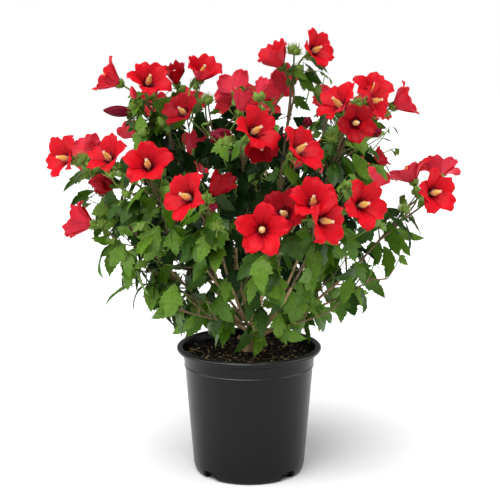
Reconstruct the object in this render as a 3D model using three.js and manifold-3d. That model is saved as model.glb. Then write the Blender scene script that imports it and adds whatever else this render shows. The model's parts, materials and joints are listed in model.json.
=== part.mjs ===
// A hibiscus shrub with red blooms, growing in a round nursery pot.
// Millimetres, +Z up, the front of the shrub towards -Y and its right towards +X.
// The origin is the centre of the pot's flat underside.
import * as THREE from 'three';
import { mergeVertices } from 'three/addons/utils/BufferGeometryUtils.js';
import Module from 'manifold-3d';

const wasm = await Module();
wasm.setup();
const { Manifold, Mesh: SolidMesh } = wasm;

// The gap that keeps touching pieces apart
const FIT = 0.35;

// Joins between twigs and leaves are made simpler by no more than this
const SMOOTHING = 0.05;

// The pot and the mix that fills it
const POT_HEIGHT = 250;
const RIM_RADIUS = 140;
const LIP_HEIGHT = 9;
const COLLAR_RADIUS = 128.3;
const COLLAR_HEIGHT = 36;
const WALL_TOP_RADIUS = 124.2;
const WALL_FOOT_RADIUS = 108.4;
const UNDERSIDE_RADIUS = 100;
const HEEL_RADIUS = 105.4;
const HEEL_HEIGHT = 4;
const WALL_FOOT_HEIGHT = 20;
const LEDGE_HEIGHT = 2;
const LEDGE_RADIUS = 126.8;
const LIP_ROUNDING = 2.5;
const WALL = 2.5;
const SOIL_LEVEL = 238;
const SOIL_DISH = 5;
const NOTCHES = 4;
const NOTCH_WIDTH = 44;
const NOTCH_HEIGHT = 17;
const NOTCH_DEPTH = 20;
const NOTCH_SHOULDER = 5;
const ROUND = 32;

// The woody parts
const TRUNK_FOOT = new THREE.Vector3(3, 0, SOIL_LEVEL + FIT);
const FORK = new THREE.Vector3(8, 0, SOIL_LEVEL + 40);
const TRUNK_RADIUS = 14;
const FLARE_RADIUS = 20;
const KNUCKLE_RADIUS = 17.5;
const TRUNK_SIDES = 10;
const TRUNK_STEPS = 8;
const FLARE_LOBES = 5;
const FLARE_SHARE = 1 / 3;
const KNUCKLE_FROM = 0.35;
const ROUNDING_FROM = 0.85;
const STUB_AT = 0.3;
const STUB_AZIMUTH = 170;
const STUB_LEAN = 62;
const STUB_LENGTH = 30;
const STUB_RADIUS = 5;
const CANE_RADIUS = 5;
const TWIG_TIP_RADIUS = 1.7;
const BRANCH_SHARE = 0.86;
const BOUGH_SIDES = 6;
const BOUGH_STEP = 48;
const CANE_BOW = 0.3;
const BRANCH_BOW = 0.16;
const BRANCH_LEAD = 0.5;
const START_HANDLE = 0.36;
const END_HANDLE = 0.34;
const TAPER_POWER = 0.8;

// The foliage
const TWIG_SIDES = 3;
const TWIG_STEP = 70;
const LEADER_POINTS = 8;
const LEADER_SHARE = 1.15;
const SHOOTS = 6;
const SHOOT_LENGTH = 120;
const SHOOT_LEAN = 52;
const SHOOT_RADIUS = 2.2;
const SHOOT_BEND_AT = 0.55;
const SHOOT_END = 0.35;
const SHOOT_RISE = 0.22;
const SHOOT_SIZES = [0.8, 1.15];
const FIRST_SHOOT_PAST_BARE = 0.08;
const LAST_SHOOT_AT = 0.96;
const LEAF_SPACING = 33;
const LEAF_LENGTH = 92;
const LEAF_HALF_WIDTH = 28;
const LEAF_WIDEST_AT = 0.44;
const LEAF_ROOT_THICKNESS = 3;
const LEAF_LEAN = 62;
const TIP_LEAF_LEAN = 18;
const LEAF_CUP = 0.06;
const LEAF_SIZES = [0.82, 1.08];
const LEAF_DROOPS = [0.05, 0.45];
const LEAF_FACES_OUT = [0.2, 0.9];
const GOLDEN_ANGLE = 137.5;
const SPACE_MARGIN = 2;
const BLOOM_CLEARANCE = 62;
const BLOOM_FRONT = 4;

// The crown's outline is a dome over a shallower bowl, and these are its widest part and its reach.
const CROWN_CENTRE = new THREE.Vector3(0, 0, 560);
const CROWN_SPREAD = 400;
const CROWN_DEPTH = 360;
const CROWN_RISE = 285;
const CROWN_FALL = 320;
const SHOOT_REACH = 0.93;

// Each stem's top lies at a length from the fork, in a direction given by its azimuth, anticlockwise
// from the right as seen from above, and its lean from upright. It leaves the trunk or another stem at
// a share of that one's length. Up to a share of its own length it is bare: that part is a bough, and
// the rest leads a mass of foliage.
const STEMS = [
  { name: 'upper_left', from: 'trunk', at: 0.98, azimuth: 208, lean: 12, length: 470, bare: 0.34 },
  { name: 'top_right', from: 'trunk', at: 0.96, azimuth: 340, lean: 9, length: 505, bare: 0.36 },
  { name: 'left', from: 'trunk', at: 0.8, azimuth: 185, lean: 45, length: 430, bare: 0.34 },
  { name: 'right', from: 'trunk', at: 0.5, azimuth: 354, lean: 49, length: 405, bare: 0.3 },
  { name: 'front_left', from: 'trunk', at: 0.8, azimuth: 251, lean: 40, length: 375, bare: 0.36 },
  { name: 'front_right', from: 'trunk', at: 0.55, azimuth: 297, lean: 45, length: 385, bare: 0.34 },
  { name: 'front_centre', from: 'trunk', at: 0.9, azimuth: 276, lean: 48, length: 375, bare: 0.34 },
  { name: 'back_left', from: 'trunk', at: 0.6, azimuth: 138, lean: 43, length: 410, bare: 0.32 },
  { name: 'back_right', from: 'trunk', at: 0.75, azimuth: 41, lean: 42, length: 410, bare: 0.32 },
  { name: 'back_centre', from: 'trunk', at: 0.85, azimuth: 90, lean: 44, length: 390, bare: 0.32 },
  { name: 'left_low', from: 'left', at: 0.14, azimuth: 196, lean: 55, length: 340, bare: 0.28 },
  { name: 'left_front', from: 'front_left', at: 0.14, azimuth: 220, lean: 38, length: 420, bare: 0.34 },
  { name: 'left_upper', from: 'upper_left', at: 0.2, azimuth: 190, lean: 23, length: 485, bare: 0.36 },
  { name: 'front_upper', from: 'upper_left', at: 0.28, azimuth: 266, lean: 27, length: 430, bare: 0.32 },
  { name: 'front_middle', from: 'front_centre', at: 0.16, azimuth: 287, lean: 30, length: 405, bare: 0.34 },
  { name: 'right_upper', from: 'top_right', at: 0.18, azimuth: 337, lean: 26, length: 475, bare: 0.36 },
  { name: 'right_front', from: 'front_right', at: 0.15, azimuth: 313, lean: 30, length: 465, bare: 0.34 },
  { name: 'top_back', from: 'top_right', at: 0.3, azimuth: 83, lean: 13, length: 460, bare: 0.26 },
  { name: 'back_left_upper', from: 'back_left', at: 0.2, azimuth: 138, lean: 23, length: 460, bare: 0.3 },
  { name: 'back_right_upper', from: 'back_right', at: 0.2, azimuth: 38, lean: 24, length: 460, bare: 0.3 },
  { name: 'right_low', from: 'right', at: 0.2, azimuth: 339, lean: 63, length: 268, bare: 0.26 },
  { name: 'low_front_left', from: 'front_left', at: 0.1, azimuth: 233, lean: 69, length: 235, bare: 0.24 },
  { name: 'low_front_right', from: 'front_right', at: 0.1, azimuth: 310, lean: 70, length: 235, bare: 0.24 },
  { name: 'low_front', from: 'front_centre', at: 0.08, azimuth: 270, lean: 74, length: 225, bare: 0.2 },
  { name: 'low_back_left', from: 'back_left', at: 0.1, azimuth: 146, lean: 66, length: 235, bare: 0.24 },
  { name: 'low_back_right', from: 'back_right', at: 0.1, azimuth: 34, lean: 66, length: 235, bare: 0.24 },
];

// The blooms that show from the front: the place of the throat, the bearing that it faces, 0 to the
// front and 90 to the right, and its rise above level.
const FRONT_BLOOMS = [
  { at: [-246, -44, 761], bearing: -82, rise: 30, size: 0.92 },
  { at: [-183, -80, 760], bearing: 23, rise: 44, size: 0.95 },
  { at: [-136, -15, 765], bearing: -20, rise: 72, form: 'cup', size: 1.05 },
  { at: [-89, -45, 770], bearing: 38, rise: 60, form: 'bell', size: 0.95 },
  { at: [-116, -120, 709], bearing: -36, rise: 37, size: 0.85 },
  { at: [-224, 60, 652], bearing: -140, rise: 30, form: 'half', size: 0.7 },
  { at: [-232, -46, 705], bearing: -75, rise: 5, form: 'rolled', size: 1.15 },
  { at: [-337, -60, 619], bearing: -48, rise: 17, size: 0.97 },
  { at: [-316, 50, 607], bearing: -160, rise: 20, size: 0.85 },
  { at: [-250, -140, 629], bearing: -36, rise: 45, size: 0.93 },
  { at: [-312, 120, 610], bearing: 160, rise: 30, size: 0.85 },
  { at: [-174, -230, 628], bearing: -3, rise: 36, size: 0.97 },
  { at: [-261, -100, 577], bearing: -64, rise: 12, form: 'wilted', size: 1.1 },
  { at: [-303, -74, 499], bearing: -98, rise: 19, size: 0.95 },
  { at: [-102, -290, 582], bearing: -40, rise: 21 },
  { at: [-57, -230, 587], bearing: 77, rise: 48, form: 'cup' },
  { at: [-42, -120, 664], bearing: -66, rise: 15, form: 'furled' },
  { at: [-99, 20, 627], bearing: 160, rise: 35, size: 0.85 },
  { at: [-26, 120, 728], bearing: -170, rise: 10 },
  { at: [8, -260, 690], bearing: 42, rise: 30 },
  { at: [-13, -94, 717], bearing: 120, rise: 65, form: 'half', size: 0.88 },
  { at: [19, -225, 669], bearing: 10, rise: -30, form: 'ageing' },
  { at: [54, -33, 796], bearing: -72, rise: 54, form: 'half' },
  { at: [119, -40, 816], bearing: 45, rise: 22, size: 0.93 },
  { at: [63, 90, 738], bearing: -166, rise: 18, size: 0.75 },
  { at: [22, -62, 736], bearing: 130, rise: 35, form: 'half', size: 0.8 },
  { at: [161, -160, 725], bearing: -53, rise: 43, size: 1.02 },
  { at: [219, -125, 731], bearing: 62, rise: 10, size: 0.9 },
  { at: [227, -55, 742], bearing: 15, rise: 50, size: 0.93 },
  { at: [276, -42, 716], bearing: 84, rise: 28, size: 0.9 },
  { at: [182, -230, 702], bearing: 7, rise: 9, size: 0.84 },
  { at: [83, -250, 656], bearing: 64, rise: 48 },
  { at: [72, 0, 757], bearing: -151, rise: 11, size: 0.75 },
  { at: [340, -70, 557], bearing: 30, rise: 14 },
  { at: [365, 20, 582], bearing: 170, rise: 50, size: 0.9 },
  { at: [305, -29, 580], bearing: -115, rise: 58, size: 0.93 },
  { at: [239, -26, 601], bearing: 95, rise: 34, form: 'half', size: 0.75 },
  { at: [108, -300, 573], bearing: 0, rise: 45 },
  { at: [122, -345, 552], bearing: 44, rise: 1 },
  { at: [191, -280, 568], bearing: 34, rise: 15 },
  { at: [62, -275, 551], bearing: -22, rise: 24, size: 0.95 },
  { at: [22, -350, 537], bearing: -2, rise: 13, size: 0.97 },
  { at: [202, -120, 614], bearing: 20, rise: 75, form: 'bud', size: 0.7 },
  { at: [107, -50, 683], bearing: 40, rise: 60, form: 'furled', size: 0.5 },
  { at: [224, -150, 675], bearing: 60, rise: 40, form: 'furled', size: 0.5 },
  { at: [-63, -280, 564], bearing: 60, rise: 10, form: 'furled', size: 0.42 },
  { at: [-210, -70, 737], bearing: -20, rise: 60, form: 'bud', size: 0.7 },
  { at: [-307, -60, 615], bearing: -60, rise: 60, form: 'cluster' },
  { at: [-243, -170, 602], bearing: -30, rise: 70, form: 'cluster' },
  { at: [83, -35, 810], bearing: 0, rise: 80, form: 'cluster', size: 1.1 },
  { at: [-79, -60, 722], bearing: 30, rise: 75, form: 'cluster' },
  { at: [194, -120, 722], bearing: 20, rise: 75, form: 'cluster', size: 0.9 },
  { at: [148, -150, 662], bearing: -20, rise: 75, form: 'cluster' },
  { at: [288, -60, 521], bearing: 0, rise: 80, form: 'cluster', size: 0.8 },
  { at: [-271, -90, 498], bearing: -20, rise: 75, form: 'cluster', size: 0.8 },
  { at: [-54, -280, 526], bearing: 10, rise: 70, form: 'cluster', size: 0.7 },
];

// The back carries its own blooms, swept round the crown, a little inside its outline. Each turns off
// its own way by a chance, and faces a little higher than it lies.
const BACK_BLOOMS = 12;
const BACK_SWEEP = 60;
const BACK_LOW = -4;
const BACK_HIGH = 52;
const BACK_SHARE = 0.86;
const BACK_TURN = 35;
const BACK_LIFT = 12;
const BACK_RISE_SHARE = 0.7;

// An open bloom is a funnel of five petals, a bell is deeper and a half-open one narrower. The ones
// without a throat are closed: spindles, and clusters of buds that are one knob here.
const BLOOM_FORMS = {
  open: { radius: 45, rim: 36, throat: 14, tip: 48 },
  bell: { radius: 37, rim: 44, throat: 14, tip: 48 },
  half: { radius: 34, rim: 44, throat: 16, tip: 40 },
  ageing: { radius: 31, rim: 32, throat: 14, tip: 38 },
  cup: { radius: 25, rim: 46, throat: 18, tip: 36 },
  furled: { radius: 12, rim: 18, tip: 42 },
  wilted: { radius: 13, rim: 18, tip: 42 },
  rolled: { radius: 9, rim: 19, tip: 47 },
  bud: { radius: 8.5, rim: 16, tip: 40 },
  cluster: { radius: 11, rim: 10, tip: 20 },
};
const PETALS = 5;
const THROAT_RADIUS = 3.5;
const STALK_STEPS = 2;
const CALYX_LENGTH = 20;
const STALK_LEAVE = 0.4;
const STALK_ARRIVE = 0.35;

// What each chance decides, so that no two use the same numbers.
const DRAW = { firstTurn: 1, shootLength: 2, leafSize: 3, leafTurn: 4, leafDroop: 5, leafFace: 6,
  backRise: 32, backBearing: 12 };

const MATERIALS = {
  plastic: new THREE.MeshStandardMaterial({ color: 0x2e2f31, roughness: 0.5, metalness: 0 }),
  soil: new THREE.MeshStandardMaterial({ color: 0x2a1d14, roughness: 0.95, metalness: 0 }),
  bark: new THREE.MeshStandardMaterial({ color: 0x7a6248, roughness: 0.85, metalness: 0 }),
  leaf: new THREE.MeshStandardMaterial({ color: 0x3f7a2c, roughness: 0.55, metalness: 0 }),
};

const radians = THREE.MathUtils.degToRad;
const { lerp, clamp } = THREE.MathUtils;
const UP = new THREE.Vector3(0, 0, 1);
const SIDEWAYS = new THREE.Vector3(1, 0, 0);

// A number from 0 to 1 that depends only on the whole numbers given, so that each twig and leaf has
// a chance of its own.
function chance(...keys) {
  let mixed = 2166136261;
  for (const key of keys) {
    mixed = Math.imul(mixed ^ (key + 1), 16777619) >>> 0;
    mixed = Math.imul(mixed ^ (mixed >>> 15), 2246822519) >>> 0;
    mixed = (mixed ^ (mixed >>> 13)) >>> 0;
  }
  return mixed / 4294967296;
}

function directionOf(azimuth, lean) {
  const flat = Math.sin(radians(lean));
  return new THREE.Vector3(
    flat * Math.cos(radians(azimuth)), flat * Math.sin(radians(azimuth)), Math.cos(radians(lean)));
}

const facingOf = (bearing, rise) => directionOf(bearing - 90, 90 - rise);

const along = (start, direction, distance) => start.clone().addScaledVector(direction, distance);

// Two directions square to the one given, and to each other.
function squareTo(direction) {
  const guide = Math.abs(direction.z) < 0.95 ? UP : SIDEWAYS;
  const first = new THREE.Vector3().crossVectors(direction, guide).normalize();
  return [first, new THREE.Vector3().crossVectors(direction, first)];
}

// The direction that leans from the first by an angle, turned round it.
function leaningFrom(direction, lean, turn) {
  const [first, second] = squareTo(direction);
  return direction.clone().multiplyScalar(Math.cos(radians(lean)))
    .addScaledVector(first, Math.sin(radians(lean)) * Math.cos(radians(turn)))
    .addScaledVector(second, Math.sin(radians(lean)) * Math.sin(radians(turn)));
}

const crownRadii = (height) =>
  new THREE.Vector3(CROWN_SPREAD, CROWN_DEPTH, height > 0 ? CROWN_RISE : CROWN_FALL);

// How far out a point lies in the crown: 1 on its outline.
function crownShare(point) {
  const offset = point.clone().sub(CROWN_CENTRE);
  return offset.divide(crownRadii(offset.z)).length();
}

// Solids

function shell(points, faces) {
  return new THREE.BufferGeometry()
    .setAttribute('position', new THREE.Float32BufferAttribute(points.flatMap((p) => p.toArray()), 3))
    .setIndex(faces.flat());
}

function solidFrom(geometry) {
  const bare = geometry.clone();
  bare.deleteAttribute('normal');
  bare.deleteAttribute('uv');
  const merged = mergeVertices(bare, 1e-3);
  const corners = [];
  const index = merged.index.array;
  for (let i = 0; i < index.length; i += 3) {
    const [a, b, c] = [index[i], index[i + 1], index[i + 2]];
    if (a !== b && b !== c && c !== a) corners.push(a, b, c);
  }
  return new Manifold(new SolidMesh({
    numProp: 3,
    vertProperties: new Float32Array(merged.attributes.position.array),
    triVerts: new Uint32Array(corners),
  }));
}

function namedMesh(name, solid, material) {
  const { vertProperties, triVerts } = solid.getMesh();
  const geometry = new THREE.BufferGeometry()
    .setAttribute('position', new THREE.BufferAttribute(new Float32Array(vertProperties), 3))
    .setIndex(new THREE.BufferAttribute(new Uint32Array(triVerts), 1));
  geometry.computeVertexNormals();
  const mesh = new THREE.Mesh(geometry, material);
  mesh.name = name;
  return mesh;
}

// A solid with its box, which is kept because most pairs lie far apart.
function boxed(solid) {
  return { solid, box: solid.boundingBox() };
}

const boxesMeet = (p, q) => [0, 1, 2].every((i) => p.min[i] <= q.max[i] && q.min[i] <= p.max[i]);

function touches(solid, others) {
  const box = solid.boundingBox();
  return others.some((other) => boxesMeet(box, other.box) && !solid.intersect(other.solid).isEmpty());
}

const largestPiece = (solid) => solid.decompose().sort((a, b) => b.volume() - a.volume())[0];

function cutClearOf(solid, others) {
  const box = solid.boundingBox();
  const near = others.filter((other) => boxesMeet(box, other.box)).map((other) => other.solid);
  return near.length ? largestPiece(solid.subtract(Manifold.union(near))) : solid;
}

// A closed tube along a curve, from one share of it to another. Its radius is worked out from the
// share and from the turn round the tube.
function tube(curve, radiusAt, { from = 0, to = 1, steps, sides }) {
  const points = [];
  const faces = [];
  let lastTangent = curve.getTangent(from);
  const [spokeStart] = squareTo(lastTangent);
  for (let i = 0; i <= steps; i++) {
    const share = lerp(from, to, i / steps);
    const tangent = curve.getTangent(share);
    spokeStart.applyQuaternion(new THREE.Quaternion().setFromUnitVectors(lastTangent, tangent));
    lastTangent = tangent;
    for (let k = 0; k < sides; k++) {
      const turn = (2 * Math.PI * k) / sides;
      const spoke = spokeStart.clone().applyAxisAngle(tangent, turn);
      points.push(along(curve.getPoint(share), spoke, radiusAt(share, turn)));
    }
  }
  for (let i = 0; i < steps; i++) {
    for (let k = 0; k < sides; k++) {
      const [a, b] = [i * sides + k, i * sides + ((k + 1) % sides)];
      faces.push([a, b, b + sides], [a, b + sides, a + sides]);
    }
  }
  const last = steps * sides;
  for (let k = 1; k < sides - 1; k++) faces.push([0, k + 1, k], [last, last + k, last + k + 1]);
  return solidFrom(shell(points, faces));
}

// The pot

const lathe = (profile) => solidFrom(
  new THREE.LatheGeometry(profile.map(([r, z]) => new THREE.Vector2(r, z)), ROUND).rotateX(Math.PI / 2));

// The inside of the wall, from the floor up.
function potInside() {
  return [
    [UNDERSIDE_RADIUS, WALL],
    [WALL_FOOT_RADIUS - WALL, WALL_FOOT_HEIGHT],
    [WALL_TOP_RADIUS - WALL, POT_HEIGHT - COLLAR_HEIGHT - LEDGE_HEIGHT],
    [COLLAR_RADIUS - WALL, POT_HEIGHT - LIP_HEIGHT - LEDGE_HEIGHT],
    [COLLAR_RADIUS, POT_HEIGHT - LIP_ROUNDING],
  ];
}

function pot() {
  const outside = [
    [0, 0],
    [UNDERSIDE_RADIUS, 0],
    [HEEL_RADIUS, HEEL_HEIGHT],
    [WALL_FOOT_RADIUS, WALL_FOOT_HEIGHT],
    [WALL_TOP_RADIUS, POT_HEIGHT - COLLAR_HEIGHT - LEDGE_HEIGHT],
    [LEDGE_RADIUS, POT_HEIGHT - COLLAR_HEIGHT],
    [COLLAR_RADIUS, POT_HEIGHT - LIP_HEIGHT],
    [RIM_RADIUS - LIP_ROUNDING, POT_HEIGHT - LIP_HEIGHT],
    [RIM_RADIUS, POT_HEIGHT - LIP_HEIGHT + LIP_ROUNDING],
    [RIM_RADIUS, POT_HEIGHT - LIP_ROUNDING],
    [RIM_RADIUS - LIP_ROUNDING, POT_HEIGHT],
    [COLLAR_RADIUS + LIP_ROUNDING, POT_HEIGHT],
  ];
  const body = lathe([...outside, ...potInside().reverse(), [0, WALL]]);
  return body.subtract(Manifold.union(drainNotches()));
}

// Arches through the foot of the wall and the edge of the floor.
function drainNotches() {
  const half = NOTCH_WIDTH / 2;
  const shoulder = half - NOTCH_SHOULDER;
  const crown = shoulder - NOTCH_SHOULDER * 1.4;
  const arch = new THREE.Shape([
    new THREE.Vector2(-half, -1),
    new THREE.Vector2(half, -1),
    new THREE.Vector2(shoulder, NOTCH_HEIGHT - NOTCH_SHOULDER),
    new THREE.Vector2(crown, NOTCH_HEIGHT),
    new THREE.Vector2(-crown, NOTCH_HEIGHT),
    new THREE.Vector2(-shoulder, NOTCH_HEIGHT - NOTCH_SHOULDER),
  ]);
  return Array.from({ length: NOTCHES }, (_, i) => solidFrom(
    new THREE.ExtrudeGeometry(arch, { depth: NOTCH_DEPTH * 2, bevelEnabled: false })
      .rotateX(Math.PI / 2)
      .translate(0, NOTCH_DEPTH - WALL_FOOT_RADIUS, 0)
      .rotateZ(radians((360 / NOTCHES) * (i + 0.5)))));
}

// The mix is a plug that follows the pot's inside, dished between the wall and the trunk.
function pottingMix() {
  const wall = potInside().map(([r, z]) => [r - FIT, z + FIT]).filter(([, z]) => z < SOIL_LEVEL);
  return lathe([
    [0, WALL + FIT],
    ...wall,
    [WALL_TOP_RADIUS - WALL, SOIL_LEVEL - SOIL_DISH / 2],
    [WALL_TOP_RADIUS * 0.8, SOIL_LEVEL],
    [WALL_TOP_RADIUS * 0.47, SOIL_LEVEL - SOIL_DISH],
    [FLARE_RADIUS * 1.4, SOIL_LEVEL],
    [0, SOIL_LEVEL],
  ]);
}

// The trunk and the boughs

const trunkReach = (FORK.z - TRUNK_FOOT.z) / 3;
const trunkLine = new THREE.CubicBezierCurve3(
  TRUNK_FOOT, along(TRUNK_FOOT, UP, trunkReach), along(FORK, directionOf(0, 168), trunkReach), FORK);

// The radius falls from the root flare to the waist, swells at the old pruning head, and rounds over.
function trunkRadius(share, turn) {
  const flare = (FLARE_RADIUS - TRUNK_RADIUS) * Math.max(0, 1 - share / FLARE_SHARE) ** 2;
  const lobes = (flare / 3) * Math.cos(FLARE_LOBES * turn);
  const knuckle = clamp((share - KNUCKLE_FROM) / (1.1 - KNUCKLE_FROM), 0, 1);
  const swell = (KNUCKLE_RADIUS - TRUNK_RADIUS) * Math.sin(Math.PI * knuckle);
  const rounding = Math.max(0, share - ROUNDING_FROM) / (1.02 - ROUNDING_FROM);
  return (TRUNK_RADIUS + flare + lobes + swell) * Math.sqrt(1 - rounding ** 2);
}

// The trunk, with the stub of a cut branch.
function trunk(clearance = 0) {
  const stem = tube(trunkLine, (share, turn) => trunkRadius(share, turn) + clearance,
    { steps: TRUNK_STEPS, sides: TRUNK_SIDES });
  const start = trunkLine.getPoint(STUB_AT);
  const stub = new THREE.LineCurve3(start, along(start, directionOf(STUB_AZIMUTH, STUB_LEAN), STUB_LENGTH));
  return stem.add(tube(stub, () => STUB_RADIUS + clearance, { steps: 1, sides: BOUGH_SIDES }));
}

// A stem leaves its parent low and outwards, and turns up towards its top.
function stemCurve(start, top, lead, bow) {
  const reach = start.distanceTo(top);
  const straight = top.clone().sub(start).normalize();
  const first = along(straight, UP, -bow).add(lead).normalize();
  const last = along(straight, UP, bow).normalize();
  return new THREE.CubicBezierCurve3(
    start, along(start, first, reach * START_HANDLE), along(top, last, -reach * END_HANDLE), top);
}

function growStems() {
  const stems = new Map();
  for (const row of STEMS) {
    const parent = stems.get(row.from);
    const start = (parent?.curve ?? trunkLine).getPoint(row.at);
    const top = along(FORK, directionOf(row.azimuth, row.lean), row.length);
    const lead = parent?.curve.getTangent(row.at).multiplyScalar(BRANCH_LEAD) ?? new THREE.Vector3();
    const curve = stemCurve(start, top, lead, parent ? BRANCH_BOW : CANE_BOW);
    const foot = parent ? parent.radiusAt(row.at) * BRANCH_SHARE : CANE_RADIUS;
    const radiusAt = (share) => lerp(foot, TWIG_TIP_RADIUS, share ** TAPER_POWER);
    stems.set(row.name, { ...row, curve, radiusAt });
  }
  return [...stems.values()];
}

function bough(stem, clearance = 0) {
  const steps = Math.ceil((stem.curve.getLength() * stem.bare) / BOUGH_STEP);
  return tube(stem.curve, (share) => stem.radiusAt(share) + clearance,
    { to: stem.bare, steps, sides: BOUGH_SIDES });
}

// The leaves and the blooms

// A leaf is a blade of six faces, thickest at its root, with its two sides raised or lowered a little.
function leafPoints(root, direction, face, length) {
  const side = new THREE.Vector3().crossVectors(direction, face).normalize();
  const normal = new THREE.Vector3().crossVectors(side, direction);
  const middle = along(along(root, direction, length * LEAF_WIDEST_AT), normal, length * LEAF_CUP);
  const half = (LEAF_HALF_WIDTH * length) / LEAF_LENGTH;
  return [
    along(root, normal, LEAF_ROOT_THICKNESS / 2), along(root, normal, -LEAF_ROOT_THICKNESS / 2),
    along(root, direction, length), along(middle, side, half), along(middle, side, -half),
  ];
}

const LEAF_FACES = [[0, 3, 2], [0, 2, 4], [1, 2, 3], [1, 4, 2], [0, 1, 3], [0, 4, 1]];

// Points evenly spaced on a circle square to an axis.
function ring(centre, axis, radius, count) {
  const [first, second] = squareTo(axis);
  return Array.from({ length: count }, (_, k) => {
    const turn = (2 * Math.PI * k) / count;
    return along(along(centre, first, radius * Math.cos(turn)), second, radius * Math.sin(turn));
  });
}

// A bloom and the shoot that carries it, in one shell: a three-sided stalk widens from the calyx to the
// tips of the five petals. An open bloom turns in there to its throat and its column.
function flower(line, bloom) {
  const { form, size, apex, axis } = bloom;
  const points = [];
  const faces = [[0, 2, 1]];
  for (let i = 0; i <= STALK_STEPS; i++) {
    const share = i / STALK_STEPS;
    points.push(...ring(line.getPoint(share), line.getTangent(share), shootRadius(share), TWIG_SIDES));
  }
  for (let i = 0; i < STALK_STEPS * TWIG_SIDES; i += TWIG_SIDES) {
    for (let k = 0; k < TWIG_SIDES; k++) {
      const [a, b] = [i + k, i + ((k + 1) % TWIG_SIDES)];
      faces.push([a, b, b + TWIG_SIDES], [a, b + TWIG_SIDES, a + TWIG_SIDES]);
    }
  }
  const calyx = points.length - TWIG_SIDES;
  const rim = points.length;
  points.push(...ring(along(apex, axis, form.rim * size), axis, form.radius * size, PETALS));
  const stalkSide = (petal) => calyx + (Math.round((petal * TWIG_SIDES) / PETALS) % TWIG_SIDES);
  for (let k = 0; k < PETALS; k++) {
    const [here, next] = [rim + k, rim + ((k + 1) % PETALS)];
    const [low, lowNext] = [stalkSide(k), stalkSide(k + 1)];
    faces.push([low, next, here]);
    if (low !== lowNext) faces.push([low, lowNext, next]);
  }
  const throat = points.length;
  const inner = form.throat ? along(apex, axis, form.throat * size) : null;
  const tip = points.length + (inner ? PETALS : 0);
  if (inner) points.push(...ring(inner, axis, THROAT_RADIUS * size, PETALS));
  points.push(along(apex, axis, form.tip * size));
  for (let k = 0; k < PETALS; k++) {
    const [here, next] = [k, (k + 1) % PETALS];
    const top = inner ? throat : rim;
    if (inner) faces.push([rim + here, rim + next, top + here], [rim + next, top + next, top + here]);
    faces.push([top + here, top + next, tip]);
  }
  return solidFrom(shell(points, faces));
}

// Each bloom with its calyx, its axis and its solid.
function allBlooms() {
  const rows = [...FRONT_BLOOMS];
  for (let k = 0; k < BACK_BLOOMS; k++) {
    const rise = lerp(BACK_LOW, BACK_HIGH, chance(DRAW.backRise, k));
    const bearing = 180 + lerp(-BACK_SWEEP, BACK_SWEEP, (k + 0.5) / BACK_BLOOMS);
    const turn = lerp(-BACK_TURN, BACK_TURN, chance(DRAW.backBearing, k));
    const place = facingOf(bearing, rise).multiply(crownRadii(rise)).multiplyScalar(BACK_SHARE);
    const at = place.add(CROWN_CENTRE).toArray();
    rows.push({ at, bearing: bearing + turn, rise: rise * BACK_RISE_SHARE + BACK_LIFT });
  }
  return rows.map((row) => {
    const { form: formName = 'open', size = 1 } = row;
    const form = BLOOM_FORMS[formName];
    const axis = facingOf(row.bearing, row.rise);
    const throat = new THREE.Vector3(...row.at);
    const apex = along(throat, axis, -(form.throat ?? form.rim) * size);
    return { form, size, throat, axis, apex };
  });
}

// The masses of foliage

function leaderLine(stem) {
  return Array.from({ length: LEADER_POINTS + 1 }, (_, i) =>
    stem.curve.getPoint(lerp(stem.bare, 1, i / LEADER_POINTS)));
}

const stretch = new THREE.Line3();
const nearest = new THREE.Vector3();

function distanceToLine(point, line) {
  let least = Infinity;
  for (let i = 1; i < line.length; i++) {
    stretch.set(line[i - 1], line[i]).closestPointToPoint(point, true, nearest);
    least = Math.min(least, nearest.distanceTo(point));
  }
  return least;
}

// A mass's own space is what lies nearer to its leader than to any other, by a margin, in the crown.
function isInSpace(mass, masses, points, margin, reach = 1) {
  return points.every((point) => {
    if (crownShare(point) > reach) return false;
    const own = distanceToLine(point, mass.line);
    return masses.every((other) => other === mass || distanceToLine(point, other.line) > own + margin);
  });
}

// A shoot leaves at its lean and turns up at its end.
function shootCurve(start, direction, length) {
  const middle = along(start, direction, length * SHOOT_BEND_AT);
  const tip = along(along(middle, direction, length * SHOOT_END), UP, length * SHOOT_RISE);
  return new THREE.QuadraticBezierCurve3(start, middle, tip);
}

const shootRadius = (share) => lerp(SHOOT_RADIUS, TWIG_TIP_RADIUS, share);

const twigSolid = (curve, radiusAt, from = 0) => tube(curve, radiusAt, {
  from, steps: Math.max(2, Math.ceil((curve.getLength() * (1 - from)) / TWIG_STEP)), sides: TWIG_SIDES,
});

// A mass starts as its leader, whose lower end lies a small gap past the bough's tip.
function startMass(stem) {
  const { curve, bare } = stem;
  const speed = curve.getPoint(bare + 0.001).distanceTo(curve.getPoint(bare)) * 1000;
  const leader = twigSolid(curve, (share) => stem.radiusAt(share) * LEADER_SHARE, bare + FIT / speed);
  return { stem, line: leaderLine(stem), twigs: [{ curve, from: bare + 0.1 }], fixed: [boxed(leader)],
    shoots: [], leaves: [] };
}

// How far below the nearest point of its leader a flowering shoot is tried, as shares of the stem
const SHOOT_DROPS = [0.22, 0.14, 0.3, 0.06, 0.4];

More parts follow.
